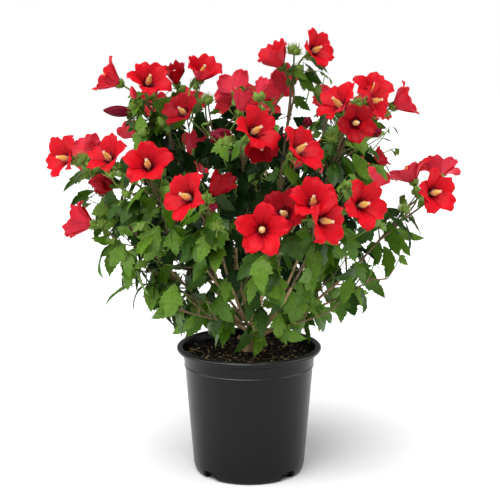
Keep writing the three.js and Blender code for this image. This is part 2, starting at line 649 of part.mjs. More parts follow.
// A flowering shoot leaves the leader below its bloom and turns to meet the bloom's calyx.
function bloomShoot(mass, bloom, obstacles) {
  const { curve, bare } = mass.stem;
  let nearestShare = bare;
  for (let i = 0; i <= 20; i++) {
    const share = lerp(bare, 0.97, i / 20);
    const isNearer = curve.getPoint(share).distanceTo(bloom.apex) <
      curve.getPoint(nearestShare).distanceTo(bloom.apex);
    if (isNearer) nearestShare = share;
  }
  for (const drop of SHOOT_DROPS) {
    const share = Math.max(bare + 0.05, nearestShare - drop);
    const start = curve.getPoint(share);
    const reach = start.distanceTo(bloom.apex);
    const line = new THREE.CubicBezierCurve3(
      start,
      along(start, curve.getTangent(share), reach * STALK_LEAVE),
      along(bloom.apex, bloom.axis, -reach * STALK_ARRIVE),
      bloom.apex);
    const solid = flower(line, bloom);
    if (!touches(solid, obstacles)) return { curve: line, solid };
  }
  return null;
}

// Each bloom goes to the mass whose leader is nearest. One whose shoot is in the way of others at
// every try is left out.
function placeBlooms(masses, limbs) {
  const placed = [];
  for (const bloom of allBlooms()) {
    const foot = along(bloom.apex, bloom.axis, -CALYX_LENGTH);
    const gap = (mass) => distanceToLine(foot, mass.line);
    const mass = masses.reduce((best, other) => (gap(other) < gap(best) ? other : best));
    const leaders = masses.filter((other) => other !== mass).map((other) => other.fixed[0]);
    const shoot = bloomShoot(mass, bloom, [...limbs, ...leaders, ...placed]);
    if (!shoot) continue;
    const piece = { ...bloom, ...boxed(shoot.solid) };
    placed.push(piece);
    mass.fixed.push(piece);
    mass.twigs.push({ curve: shoot.curve, from: 0.15, to: 0.75 });
  }
  return placed;
}

// Fill shoots leave the leader by the golden angle. One that would leave the mass's space or touch
// anything is tried at each of these shares of its length, and then skipped.
const SHOOT_CUTS = [1, 0.8, 0.6, 0.45];

function addFillShoots(mass, masses, obstacles) {
  const { curve, bare } = mass.stem;
  const seed = STEMS.findIndex((row) => row.name === mass.stem.name);
  for (let k = 0; k < SHOOTS; k++) {
    const share = lerp(bare + FIRST_SHOOT_PAST_BARE, LAST_SHOOT_AT, k / (SHOOTS - 1));
    const turn = GOLDEN_ANGLE * k + 360 * chance(seed, DRAW.firstTurn);
    const direction = leaningFrom(curve.getTangent(share), SHOOT_LEAN, turn);
    const fullLength = SHOOT_LENGTH * lerp(...SHOOT_SIZES, chance(seed, DRAW.shootLength, k));
    for (const cut of SHOOT_CUTS) {
      const line = shootCurve(curve.getPoint(share), direction, fullLength * cut);
      const checks = [0.3, 0.5, 0.7, 0.85, 1].map((s) => line.getPoint(s));
      if (!isInSpace(mass, masses, checks, SPACE_MARGIN + SHOOT_RADIUS * 2, SHOOT_REACH)) continue;
      const solid = twigSolid(line, shootRadius);
      if (touches(solid, obstacles)) continue;
      mass.twigs.push({ curve: line, from: 0.25 });
      mass.shoots.push(solid);
      break;
    }
  }
}

// The turns and sizes that a leaf is tried at, before it is skipped.
const LEAF_TRIES = [[0, 1], [75, 1], [-75, 0.95], [150, 0.9], [30, 0.75], [-40, 0.7], [180, 0.6]];

// No leaf stands close outside a bloom, where it would cover it.
function coversBloom(points, blooms) {
  return blooms.some((bloom) => points.some((point) => {
    const offset = point.clone().sub(bloom.throat);
    return offset.length() < BLOOM_CLEARANCE && offset.dot(bloom.axis) > BLOOM_FRONT;
  }));
}

// Leaves follow each twig by the golden angle, drooping, with their faces up and a little outwards.
function addLeaves(mass, masses, obstacles, blooms) {
  const seed = STEMS.findIndex((row) => row.name === mass.stem.name);
  mass.twigs.forEach(({ curve, from, to = 1 }, t) => {
    const length = curve.getLength() * (to - from);
    const leaves = Math.max(1, Math.round(length / LEAF_SPACING));
    for (let i = 0; i <= leaves; i++) {
      const share = lerp(from, to, i / leaves);
      const lean = i === leaves && to === 1 ? TIP_LEAF_LEAN : LEAF_LEAN;
      const size = lerp(...LEAF_SIZES, chance(seed, DRAW.leafSize, t, i));
      const phase = 360 * chance(seed, DRAW.leafTurn, t) + GOLDEN_ANGLE * i;
      for (const [twist, cut] of LEAF_TRIES) {
        const direction = leaningFrom(curve.getTangent(share), lean, phase + twist);
        direction.z -= lerp(...LEAF_DROOPS, chance(seed, DRAW.leafDroop, t, i));
        direction.normalize();
        const root = curve.getPoint(share);
        const outward = new THREE.Vector3(root.x, root.y, 0).normalize();
        const face = along(UP, outward, lerp(...LEAF_FACES_OUT, chance(seed, DRAW.leafFace, t, i)));
        const points = leafPoints(root, direction, face, LEAF_LENGTH * size * cut);
        const middles = [3, 4].map((n) => points[2].clone().lerp(points[n], 0.5));
        const checks = [...points.slice(2), ...middles];
        if (!isInSpace(mass, masses, checks, SPACE_MARGIN) || coversBloom(checks, blooms)) continue;
        const solid = solidFrom(shell(points, LEAF_FACES));
        if (touches(solid, obstacles) || touches(solid, blooms) || touches(solid, mass.leaves)) continue;
        mass.leaves.push(boxed(solid));
        break;
      }
    }
  });
}

function growMasses(stems, limbs) {
  const masses = stems.map(startMass);
  const blooms = placeBlooms(masses, limbs);
  for (const mass of masses) {
    const foreign = masses.filter((other) => other !== mass).flatMap((other) => other.fixed);
    const obstacles = [...limbs, ...foreign];
    addFillShoots(mass, masses, [...obstacles, ...blooms]);
    addLeaves(mass, masses, obstacles, blooms);
    const parts = [...mass.fixed, ...mass.leaves].map((piece) => piece.solid);
    const fused = Manifold.union([...parts, ...mass.shoots]);
    mass.solid = largestPiece(fused.asOriginal().simplify(SMOOTHING));
  }
  return masses;
}

// The whole shrub

const group = new THREE.Group();
const addPiece = (name, solid, material) => group.add(namedMesh(name, solid, material));

const potSolid = pot();
const mixSolid = pottingMix();
addPiece('pot', potSolid, MATERIALS.plastic);
addPiece('potting_mix', mixSolid, MATERIALS.soil);
addPiece('trunk', trunk(), MATERIALS.bark);

// Each bough is cut clear of the trunk and of the boughs made before it.
const limbs = [boxed(trunk(FIT))];
const stems = growStems();
for (const stem of stems) {
  addPiece(`bough_${stem.name}`, cutClearOf(bough(stem), limbs), MATERIALS.bark);
  limbs.push(boxed(bough(stem, FIT)));
}

// Sleeves round the limbs keep the foliage a small gap away from them.
for (const mass of growMasses(stems, [...limbs, boxed(potSolid), boxed(mixSolid)]))
  addPiece(`foliage_${mass.stem.name}`, mass.solid, MATERIALS.leaf);

export default group;
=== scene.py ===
import functools
import itertools
import json
import math

import bmesh
import bpy
import numpy as np
from bpy.props import FloatProperty, FloatVectorProperty, IntProperty, PointerProperty
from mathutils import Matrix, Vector
from mathutils.kdtree import KDTree

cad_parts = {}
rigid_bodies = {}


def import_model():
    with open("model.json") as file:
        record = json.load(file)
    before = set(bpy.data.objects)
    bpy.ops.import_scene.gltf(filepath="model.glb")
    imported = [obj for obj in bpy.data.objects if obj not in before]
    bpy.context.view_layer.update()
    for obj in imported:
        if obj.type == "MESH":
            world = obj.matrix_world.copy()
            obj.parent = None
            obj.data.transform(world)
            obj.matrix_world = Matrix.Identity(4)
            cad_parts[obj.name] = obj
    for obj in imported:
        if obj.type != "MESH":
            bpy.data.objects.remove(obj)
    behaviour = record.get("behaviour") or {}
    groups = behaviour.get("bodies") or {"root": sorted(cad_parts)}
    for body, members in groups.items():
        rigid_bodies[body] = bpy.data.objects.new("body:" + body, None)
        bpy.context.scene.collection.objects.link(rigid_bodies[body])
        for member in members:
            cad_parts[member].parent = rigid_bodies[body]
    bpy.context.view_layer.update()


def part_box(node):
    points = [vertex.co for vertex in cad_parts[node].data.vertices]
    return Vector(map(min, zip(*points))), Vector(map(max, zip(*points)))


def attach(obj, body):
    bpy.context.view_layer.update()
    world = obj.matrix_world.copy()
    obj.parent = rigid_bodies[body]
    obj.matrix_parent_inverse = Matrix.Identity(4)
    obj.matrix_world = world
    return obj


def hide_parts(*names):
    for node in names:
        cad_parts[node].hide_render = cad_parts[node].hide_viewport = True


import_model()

bl_info = {
    "name": "Potted Hibiscus",
    "version": (1, 0, 0),
    "blender": (4, 5, 0),
    "location": "3D View > Sidebar > Hibiscus",
    "description": "A red hibiscus shrub in its nursery pot: wood, leaves, blooms, pot and mix",
    "category": "Add Mesh",
}

# Lengths in the tables and in the growth rule are millimetres, and meshes are made in metres.
MM = 0.001

POT_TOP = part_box("pot")[1]
RIM_RADIUS = POT_TOP.x / MM
POT_HEIGHT = POT_TOP.z / MM
SOIL_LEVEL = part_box("potting_mix")[1].z / MM

# The wood
TRUNK_FOOT = np.array([3.0, 0.0, SOIL_LEVEL])
FORK = np.array([8.0, 0.0, SOIL_LEVEL + 40])
TRUNK_RADIUS = 14
FLARE_RADIUS = 20
KNUCKLE_RADIUS = 17.5
STUB_LENGTH = 30
STUB_RADIUS = 5
STUB_AZIMUTH = 170
STUB_LEAN = 62
STUB_AT = 0.3
CANE_RADIUS = 5
CANE_TIP_RADIUS = 1.5
TAPER_POWER = 0.8
# A branch is finer than its parent where it leaves it, and a cane finer than the solid that stands for it.
BRANCH_SHARE = 0.86
CANE_SHARE = 0.82
CANE_BOW = 0.3
BRANCH_BOW = 0.16
BRANCH_LEAD = 0.5
START_HANDLE = 0.36
END_HANDLE = 0.34

# Each stem's name, its parent, the share of the parent's length that it leaves at, the azimuth and
# the lean of its top as seen from the fork, its length, and the share of it that is bare.
STEMS = (
    ("upper_left", "trunk", 0.98, 208, 12, 470, 0.34),
    ("top_right", "trunk", 0.96, 340, 9, 505, 0.36),
    ("left", "trunk", 0.8, 185, 45, 430, 0.34),
    ("right", "trunk", 0.5, 354, 49, 405, 0.3),
    ("front_left", "trunk", 0.8, 251, 40, 375, 0.36),
    ("front_right", "trunk", 0.55, 297, 45, 385, 0.34),
    ("front_centre", "trunk", 0.9, 276, 48, 375, 0.34),
    ("back_left", "trunk", 0.6, 138, 43, 410, 0.32),
    ("back_right", "trunk", 0.75, 41, 42, 410, 0.32),
    ("back_centre", "trunk", 0.85, 90, 44, 390, 0.32),
    ("left_low", "left", 0.14, 196, 55, 340, 0.28),
    ("left_front", "front_left", 0.14, 220, 38, 420, 0.34),
    ("left_upper", "upper_left", 0.2, 190, 23, 485, 0.36),
    ("front_upper", "upper_left", 0.28, 266, 27, 430, 0.32),
    ("front_middle", "front_centre", 0.16, 287, 30, 405, 0.34),
    ("right_upper", "top_right", 0.18, 337, 26, 475, 0.36),
    ("right_front", "front_right", 0.15, 313, 30, 465, 0.34),
    ("top_back", "top_right", 0.3, 83, 13, 460, 0.26),
    ("back_left_upper", "back_left", 0.2, 138, 23, 460, 0.3),
    ("back_right_upper", "back_right", 0.2, 38, 24, 460, 0.3),
    ("right_low", "right", 0.2, 339, 63, 268, 0.26),
    ("low_front_left", "front_left", 0.1, 233, 69, 235, 0.24),
    ("low_front_right", "front_right", 0.1, 310, 70, 235, 0.24),
    ("low_front", "front_centre", 0.08, 270, 74, 225, 0.2),
    ("low_back_left", "back_left", 0.1, 146, 66, 235, 0.24),
    ("low_back_right", "back_right", 0.1, 34, 66, 235, 0.24),
)

# The crown's outline is a dome over a bowl that is a little deeper.
CROWN_CENTRE = np.array([0.0, 0.0, 560.0])
CROWN_RADII = np.array([400.0, 360.0, 285.0])
CROWN_FALL = 320
GOLDEN_ANGLE = 137.5

# Shoots leave a stem from a share of its bare part up to near its tip, and side twigs leave a shoot
# between two shares of it.
SHOOT_REACH = 0.93
FIRST_SHOOT = 0.55
LAST_SHOOT = 0.97
SHOOT_LEAN = 52
SHOOT_LENGTHS = (0.8, 1.15)
SHOOT_CUTS = (1, 0.8, 0.6, 0.45)
SHOOT_CHECKS = np.array([0.35, 0.55, 0.75, 1])
SHOOT_RADIUS = 1.7
SHOOT_TIP_RADIUS = 0.8
SHOOT_MARGIN = 3
# How far along a shoot its middle lies, and how far on and up its tip lies from there.
SHOOT_BEND, SHOOT_ON, SHOOT_RISE = 0.55, 0.35, 0.22
# Leaves grow on a twig between two shares of it.
SHOOT_LEAFY = (0.15, 1)
STALK_LEAFY = (0.12, 0.93)
SPROUT_LEAFY = (0.25, 1)
SIDE_TWIGS_AT = (0.35, 0.8)
SIDE_TWIG_LEAN = 48
SIDE_TWIG_SHARE = 0.5
SIDE_TWIG_RADIUS = 1.2
WOOD_GAP = 5

# Each bloom that shows from the front: the place of its throat, the bearing that it faces, 0 to the
# front and 90 to the right, its rise above level, its form and its size.
FRONT_BLOOMS = (
    (-246, -44, 761, -82, 30, "bell", 1.02),
    (-183, -80, 760, 23, 44, "open", 0.95),
    (-136, -15, 765, -20, 72, "cup", 0.85),
    (-89, -45, 770, 38, 60, "bell", 0.95),
    (-116, -120, 709, -36, 37, "deep", 0.85),
    (-224, 60, 652, -140, 30, "half", 0.7),
    (-232, -46, 705, -75, 5, "rolled", 1.15),
    (-337, -60, 619, -48, 17, "open", 0.97),
    (-316, 50, 607, -160, 20, "open", 0.85),
    (-250, -140, 629, -36, 45, "open", 0.93),
    (-312, 120, 610, 160, 30, "open", 0.85),
    (-174, -230, 628, -3, 36, "open", 0.97),
    (-261, -100, 577, -64, 12, "wilted", 1.1),
    (-299, -74, 501, -98, 14, "bell", 1.08),
    (-102, -290, 582, -40, 21, "open", 1),
    (-57, -230, 587, 77, 48, "cup", 1),
    (-42, -120, 664, -66, 15, "furled", 1),
    (-99, 20, 627, 160, 35, "open", 0.85),
    (-26, 120, 728, -170, 10, "open", 1),
    (8, -260, 690, 42, 30, "open", 1),
    (-13, -94, 717, 120, 65, "half", 0.88),
    (19, -225, 669, 10, -30, "ageing", 1),
    (54, -33, 796, -72, 54, "half", 1),
    (119, -40, 816, 45, 22, "open", 0.93),
    (63, 90, 738, -166, 18, "open", 0.75),
    (22, -62, 736, 130, 35, "half", 0.8),
    (161, -160, 725, -53, 43, "open", 1.02),
    (219, -125, 731, 62, 10, "open", 0.9),
    (227, -55, 742, 15, 50, "open", 0.93),
    (275, -42, 718, 84, 28, "bell", 1),
    (182, -230, 702, 12, 6, "deep", 0.84),
    (83, -250, 656, 50, 34, "open", 1.03),
    (72, 0, 757, -151, 11, "open", 0.75),
    (340, -70, 557, 30, 14, "open", 1),
    (365, 20, 582, 170, 50, "open", 0.9),
    (305, -29, 580, -115, 58, "open", 1.05),
    (239, -26, 611, 95, 34, "half", 0.66),
    (108, -300, 573, 0, 45, "open", 1),
    (122, -345, 552, 44, 1, "open", 1),
    (191, -280, 568, 34, 15, "open", 1),
    (62, -275, 551, -22, 24, "deep", 0.95),
    (22, -350, 537, -2, 13, "open", 0.97),
    (202, -120, 614, 20, 75, "bud", 0.7),
    (107, -50, 683, 40, 60, "furled", 0.5),
    (224, -150, 675, 60, 40, "furled", 0.5),
    (-63, -280, 564, 60, 10, "furled", 0.42),
    (-210, -70, 737, -20, 60, "bud", 0.7),
    (-307, -60, 615, -60, 60, "cluster", 1),
    (-243, -170, 602, -30, 70, "cluster", 1),
    (83, -35, 810, 0, 80, "cluster", 1.1),
    (-79, -60, 722, 30, 75, "cluster", 1),
    (194, -120, 722, 20, 75, "cluster", 0.9),
    (148, -150, 662, -20, 75, "cluster", 1),
    (288, -60, 521, 0, 80, "cluster", 0.8),
    (-271, -90, 498, -20, 75, "cluster", 0.8),
    (-54, -280, 526, 10, 70, "cluster", 0.7),
)
# The blooms of the back, spread evenly over its sweep of bearings, between a low and a high rise.
BACK_BLOOMS = 12
BACK_SWEEP = 60
BACK_LOW = -4
BACK_HIGH = 52
BACK_SHARE = 0.86
BACK_TURN = 35
BACK_LIFT = 12
BACK_RISE_SHARE = 0.7

# How each form opens: the radius and height of its petals' tips, the height of its throat and of its
# column, and how its petals leave the throat and turn back at their tips. A closed form has no column.
FORMS = {
    "open": {"radius": 45, "rim": 36, "throat": 14, "column": 38, "flare": 1.1, "turn_back": 7},
    "deep": {"radius": 43, "rim": 37, "throat": 14, "column": 37, "flare": 1.1, "turn_back": 4},
    "ageing": {"radius": 31, "rim": 32, "throat": 14, "column": 38, "flare": 0.95, "turn_back": -5},
    "bell": {"radius": 37, "rim": 45, "throat": 14, "column": 40, "flare": 0.95, "turn_back": 7},
    "half": {"radius": 34, "rim": 44, "throat": 16, "column": 36, "flare": 0.85, "turn_back": 2},
    "cup": {"radius": 25, "rim": 46, "throat": 18, "column": 36, "flare": 0.72, "turn_back": 0},
    "furled": {"radius": 14.5, "rim": 44, "throat": 17.6, "column": 0, "flare": 1, "turn_back": 0},
    "wilted": {"radius": 14.5, "rim": 42, "throat": 16.8, "column": 0, "flare": 1, "turn_back": 0},
    "rolled": {"radius": 9, "rim": 47, "throat": 18.8, "column": 0, "flare": 1, "turn_back": 0},
    "bud": {"radius": 8.5, "rim": 40, "throat": 16, "column": 0, "flare": 1, "turn_back": 0},
    "cluster": {"radius": 13, "rim": 20, "throat": 0, "column": 0, "flare": 1, "turn_back": 0},
}
PETALS = 5
CALYX_LENGTH = 20
# How far below a bloom its shoot may leave the stem, as shares of the stem, in the order of trying.
SHOOT_DROPS = (0.22, 0.14, 0.3, 0.06, 0.4)
# How far it first follows the stem, and last the bloom's axis, as shares of its reach.
FOLLOWS_STEM, FOLLOWS_BLOOM = 0.4, 0.35
STALK_RADIUS = 2.3
STALK_TIP_RADIUS = 1.6
SPROUTS_AT = (0.3, 0.65)
SPROUT_LENGTH = 40
SPROUT_BEND, SPROUT_ON = 0.6, 0.45
SPROUT_RADIUS = 1.3
# Petals fill this much round and along a bloom's axis, and what hangs within a depth before it hides it.
PETAL_MARGIN = 3
PETALS_FROM, PETALS_TO = -16, 34
COVERS_FROM = 4
HIDES_FROM, HIDES_TO, HIDES_SHARE = 6, 320, 0.85
TWIG_CLEARANCE = 48
# A bloom shows from the front when its axis leans that way by more than this.
SHOWN_FROM = 0.15

# What each chance decides, so that no two use the same numbers.
DRAW_FIRST_TURN = 1
DRAW_SHOOT_LENGTH = 2
DRAW_SPROUT_TURN = 5
DRAW_BACK_BEARING = 12
DRAW_BACK_RISE = 32


def unit(vectors):
    """The same directions, each of length one."""
    return vectors / np.linalg.norm(vectors, axis=-1, keepdims=True)


def chance(*keys):
    """A number from 0 to 1 that depends only on the whole numbers given."""
    mixed = 2166136261
    for key in keys:
        mixed = ((mixed ^ (key + 1)) * 16777619) & 0xFFFFFFFF
        mixed = ((mixed ^ (mixed >> 15)) * 2246822519) & 0xFFFFFFFF
        mixed ^= mixed >> 13
    return mixed / 2**32


def blend(low, high, share):
    """The value at a share of the way from low to high."""
    return low + (high - low) * share


def direction_of(azimuth, lean):
    """The direction with an azimuth from +X towards +Y, leaning by an angle from upright."""
    turn, tilt = math.radians(azimuth), math.radians(lean)
    return np.array([math.sin(tilt) * math.cos(turn), math.sin(tilt) * math.sin(turn), math.cos(tilt)])


def facing_of(bearing, rise):
    """The direction with a bearing, 0 to the front and 90 to the right, that rises by an angle."""
    return direction_of(bearing - 90, 90 - rise)


UP = direction_of(0, 0)
TO_THE_FRONT = facing_of(0, 11)
SIDEWAYS = direction_of(0, 90)


def square_to(direction):
    """Two directions square to the one given, and to each other."""
    guide = UP if abs(direction[2]) < 0.95 else SIDEWAYS
    first = unit(np.cross(direction, guide))
    return first, np.cross(direction, first)


def leaning_from(direction, lean, turn):
    """The direction that leans from the first by an angle, turned round it."""
    first, second = square_to(direction)
    tilt, spin = math.radians(lean), math.radians(turn)
    aside = math.cos(spin) * first + math.sin(spin) * second
    return math.cos(tilt) * direction + math.sin(tilt) * aside


def crown_share(points):
    """How far out points lie in the crown: 1 on its outline."""
    offsets = points - CROWN_CENTRE
    radii = np.broadcast_to(CROWN_RADII, offsets.shape).copy()
    radii[..., 2] = np.where(offsets[..., 2] > 0, CROWN_RADII[2], CROWN_FALL)
    return np.linalg.norm(offsets / radii, axis=-1)


class Curve:
    """A smooth curve that is drawn towards its handles, from the first to the last."""

    def __init__(self, *handles):
        self.handles = np.array(handles, float)

    @staticmethod
    def weighed(handles, shares):
        """Points of the curve that has these handles."""
        shares = np.atleast_1d(shares)[:, None]
        last = len(handles) - 1
        weights = [math.comb(last, i) * shares**i * (1 - shares) ** (last - i) for i in range(last + 1)]
        return sum(weight * handle for weight, handle in zip(weights, handles))

    def points(self, shares):
        return self.weighed(self.handles, shares)

    def point(self, share):
        return self.points(share)[0]

    def tangent(self, share):
        return unit(self.weighed(np.diff(self.handles, axis=0), share)[0])

    def length(self, start=0.0, end=1.0):
        line = self.points(np.linspace(start, end, 17))
        return np.linalg.norm(np.diff(line, axis=0), axis=1).sum()


class Stem:
    """A cane from the trunk, or a branch of one: its curve, its taper and where its leaves begin."""

    def __init__(self, row, parents):
        self.name, parent_name, at, azimuth, lean, length, self.bare = row
        parent = parents.get(parent_name)
        start = (parent.curve if parent else trunk_line()).point(at)
        top = FORK + length * direction_of(azimuth, lean)
        lead = BRANCH_LEAD * parent.curve.tangent(at) if parent else np.zeros(3)
        bow = BRANCH_BOW if parent else CANE_BOW
        straight = unit(top - start)
        reach = np.linalg.norm(top - start)
        first = unit(straight - bow * UP + lead)
        last = unit(straight + bow * UP)
        self.curve = Curve(start, start + first * reach * START_HANDLE, top - last * reach * END_HANDLE, top)
        self.foot = parent.radius(at) * BRANCH_SHARE if parent else CANE_RADIUS
        self.twigs = []
        self.number = len(parents)

    def radius(self, share):
        return blend(self.foot, CANE_TIP_RADIUS, share**TAPER_POWER)


class Twig:
    """A shoot with the stretch of it that bears leaves, how fine it is, and the shoot it leaves.

    Its tip is the share of it that is wood: it ends at its last leaf."""

    def __init__(self, curve, radius, tip_radius, start=0.0, end=1.0, parent=None, place=0.0):
        self.curve, self.radius, self.tip_radius = curve, radius, tip_radius
        self.start, self.end = start, end
        self.parent, self.place = parent, place
        self.bears_bloom, self.is_low, self.tip = False, False, 0.0


class Bloom:
    """A bloom's place, its axis and its form, with its calyx at the apex."""

    def __init__(self, x, y, z, bearing, rise, form, size):
        self.form_name, self.size, self.form = form, size, FORMS[form]
        self.axis = facing_of(bearing, rise)
        self.throat = np.array([x, y, z], float)
        self.apex = self.throat - self.axis * self.form["throat"] * size


def trunk_line():
    """The trunk's middle line, from the mix up to the fork."""
    third = (FORK[2] - TRUNK_FOOT[2]) / 3
    return Curve(TRUNK_FOOT, TRUNK_FOOT + third * UP, FORK + third * direction_of(0, 168), FORK)


def all_blooms():
    """The blooms that show from the front, and those spread over the back."""
    rows = list(FRONT_BLOOMS)
    for k in range(BACK_BLOOMS):
        rise = blend(BACK_LOW, BACK_HIGH, chance(DRAW_BACK_RISE, k))
        bearing = 180 + blend(-BACK_SWEEP, BACK_SWEEP, (k + 0.5) / BACK_BLOOMS)
        turn = blend(-BACK_TURN, BACK_TURN, chance(DRAW_BACK_BEARING, k))
        radii = np.array([*CROWN_RADII[:2], CROWN_RADII[2] if rise > 0 else CROWN_FALL])
        place = CROWN_CENTRE + facing_of(bearing, rise) * radii * BACK_SHARE
        rows.append((*place, bearing + turn, rise * BACK_RISE_SHARE + BACK_LIFT, "open", 1))
    return [Bloom(*row) for row in rows]


class Shrub:
    """The whole plant's lines: its stems, their twigs and its blooms, grown by one rule."""

    def __init__(self, shoots, shoot_length, side_twigs):
        parents = {}
        for row in STEMS:
            parents[row[0]] = Stem(row, parents)
        self.stems = list(parents.values())
        lines = np.array([s.curve.points(np.linspace(s.bare, 1, 9)) for s in self.stems])
        self.leader_starts, self.leader_steps = lines[:, :-1], np.diff(lines, axis=1)
        wood = [(p, s.number) for s in self.stems for p in s.curve.points(np.linspace(0.02, 1, 50))]
        self.wood_owner = [number for _, number in wood]
        self.wood_tree = tree_of([point for point, _ in wood])
        self.blooms = all_blooms()
        self.bloom_throats = np.array([b.throat for b in self.blooms])
        self.bloom_axes = np.array([b.axis for b in self.blooms])
        self.bloom_radii = np.array([b.form["radius"] * b.size for b in self.blooms])
        closed = np.array([b.form["column"] == 0 for b in self.blooms])
        is_seen = closed | (self.bloom_axes @ TO_THE_FRONT > SHOWN_FROM)
        self.shown = np.nonzero(is_seen[:len(FRONT_BLOOMS)])[0]
        for bloom in self.blooms:
            self.add_flowering_shoot(bloom)
        for stem in self.stems:
            self.add_shoots(stem, shoots, shoot_length, side_twigs)
            self.add_sprouts(stem)

    def leader_distances(self, points):
        """The distance of each point from each stem's leafy part."""
        offsets = points[:, None, None] - self.leader_starts
        along = (offsets * self.leader_steps).sum(-1) / (self.leader_steps**2).sum(-1)
        nearest = offsets - np.clip(along, 0, 1)[..., None] * self.leader_steps
        return np.linalg.norm(nearest, axis=-1).min(-1)

    def is_in_space(self, stem, points, margin, reach=1.0):
        """A stem's own space is what lies nearer to it than to any other, in the crown."""
        if crown_share(points).max() > reach:
            return False
        distances = self.leader_distances(points)
        own = distances[:, stem.number].copy()
        distances[:, stem.number] = np.inf
        return bool((distances.min(1) > own + margin).all())

    def touches_wood(self, points, gap, own):
        """Whether a point lies closer than the gap to the wood of another stem than its own."""
        for point in points:
            _, index, distance = self.wood_tree.find(point)
            if distance < gap and self.wood_owner[index] != own:
                return True
        return False

    def bloom_offsets(self, points):
        """How far each point lies along each bloom's axis, from its throat, and aside from the axis."""
        offsets = points[:, None] - self.bloom_throats
        depth = (offsets * self.bloom_axes).sum(-1)
        distance = np.linalg.norm(offsets, axis=-1)
        return depth, distance, np.sqrt(np.maximum(distance**2 - depth**2, 0))

    def meets_bloom(self, points, skip=None):
        """Whether a point lies among a bloom's petals."""
        depth, _, aside = self.bloom_offsets(points)
        inside = (aside < self.bloom_radii + PETAL_MARGIN) & (depth > PETALS_FROM) & (depth < PETALS_TO)
        if skip is not None:
            inside[:, skip] = False
        return bool(inside.any())

    def covers_bloom(self, points, clearance):
        """Whether a point stands close outside a bloom, where it would cover it."""
        depth, distance, _ = self.bloom_offsets(points)
        return bool(((distance < clearance) & (depth > COVERS_FROM)).any())

    def hides_bloom(self, points):
        """Whether a point hangs before a bloom that faces the front."""
        offsets = points[:, None] - self.bloom_throats[self.shown]
        depth = offsets @ TO_THE_FRONT
        aside = np.linalg.norm(offsets - depth[..., None] * TO_THE_FRONT, axis=-1)
        is_before = (depth > HIDES_FROM) & (depth < HIDES_TO)
        return bool(((aside < HIDES_SHARE * self.bloom_radii[self.shown]) & is_before).any())

    def add_flowering_shoot(self, bloom):
        """A shoot that bends out of the nearest stem into the bloom's axis."""
        foot = bloom.apex - bloom.axis * CALYX_LENGTH
        stem = self.stems[int(self.leader_distances(foot[None])[0].argmin())]
        shares = np.linspace(stem.bare, LAST_SHOOT, 21)
        gaps = np.linalg.norm(stem.curve.points(shares) - bloom.apex, axis=1)
        nearest = shares[gaps.argmin()]
        tries = [self.bloom_curve(stem, max(stem.bare + 0.05, nearest - drop), bloom) for drop in SHOOT_DROPS]
        clear = (curve for curve in tries if self.is_clear(curve, stem, bloom))
        foot_radius = min(STALK_RADIUS, stem.radius(stem.bare))
        twig = Twig(next(clear, tries[0]), foot_radius, STALK_TIP_RADIUS, *STALK_LEAFY)
        twig.bears_bloom, twig.tip = True, 1.0
        stem.twigs.append(twig)

    def bloom_curve(self, stem, share, bloom):
        """The way of a shoot from a share of the stem to the bloom."""
        start = stem.curve.point(share)
        reach = np.linalg.norm(bloom.apex - start)
        return Curve(start, start + stem.curve.tangent(share) * reach * FOLLOWS_STEM,
                     bloom.apex - bloom.axis * reach * FOLLOWS_BLOOM, bloom.apex)

    def is_clear(self, curve, stem, bloom):
        """Whether the way to a bloom meets no other bloom and no other stem's wood."""
        checks = curve.points(np.linspace(0.25, 1, 10))
        if self.meets_bloom(checks, self.blooms.index(bloom)):
            return False
        return not self.touches_wood(checks, WOOD_GAP, stem.number)

    def add_shoots(self, stem, shoots, shoot_length, side_twigs):
        """Fill shoots leave the stem by the golden angle, and finer side twigs leave them in turn."""
        for k in range(shoots):
            share = blend(stem.bare * FIRST_SHOOT, LAST_SHOOT, k / max(shoots - 1, 1))
            turn = GOLDEN_ANGLE * k + 360 * chance(stem.number, DRAW_FIRST_TURN)
            direction = leaning_from(stem.curve.tangent(share), SHOOT_LEAN, turn)
            length = shoot_length * blend(*SHOOT_LENGTHS, chance(stem.number, DRAW_SHOOT_LENGTH, k))
            shoot = self.add_shoot(stem, stem.curve.point(share), direction, length, SHOOT_RADIUS)
            if shoot is None:
                continue
            for side in range(side_twigs):
                place = blend(*SIDE_TWIGS_AT, side / max(side_twigs - 1, 1))
                side_turn = turn + GOLDEN_ANGLE * (side + 1)
                aside = leaning_from(shoot.curve.tangent(place), SIDE_TWIG_LEAN, side_turn)
                start = shoot.curve.point(place)
                self.add_shoot(stem, start, aside, length * SIDE_TWIG_SHARE, SIDE_TWIG_RADIUS, shoot, place)

    def add_sprouts(self, stem):
        """Short sprouts on the stem's bare part, whose leaves hang over the pot."""
        for k, share in enumerate(SPROUTS_AT):
            start = stem.curve.point(stem.bare * share)
            outward = unit((start - FORK) * (1, 1, 0) + 1e-6)
            aside = np.cross(UP, outward) * blend(-1, 1, chance(stem.number, DRAW_SPROUT_TURN, k))
            middle = start + unit(outward + aside + 0.5 * UP) * SPROUT_LENGTH * SPROUT_BEND
            curve = Curve(start, middle, middle + outward * SPROUT_LENGTH * SPROUT_ON)
            twig = Twig(curve, SPROUT_RADIUS, SHOOT_TIP_RADIUS, *SPROUT_LEAFY)
            twig.is_low = True
            stem.twigs.append(twig)

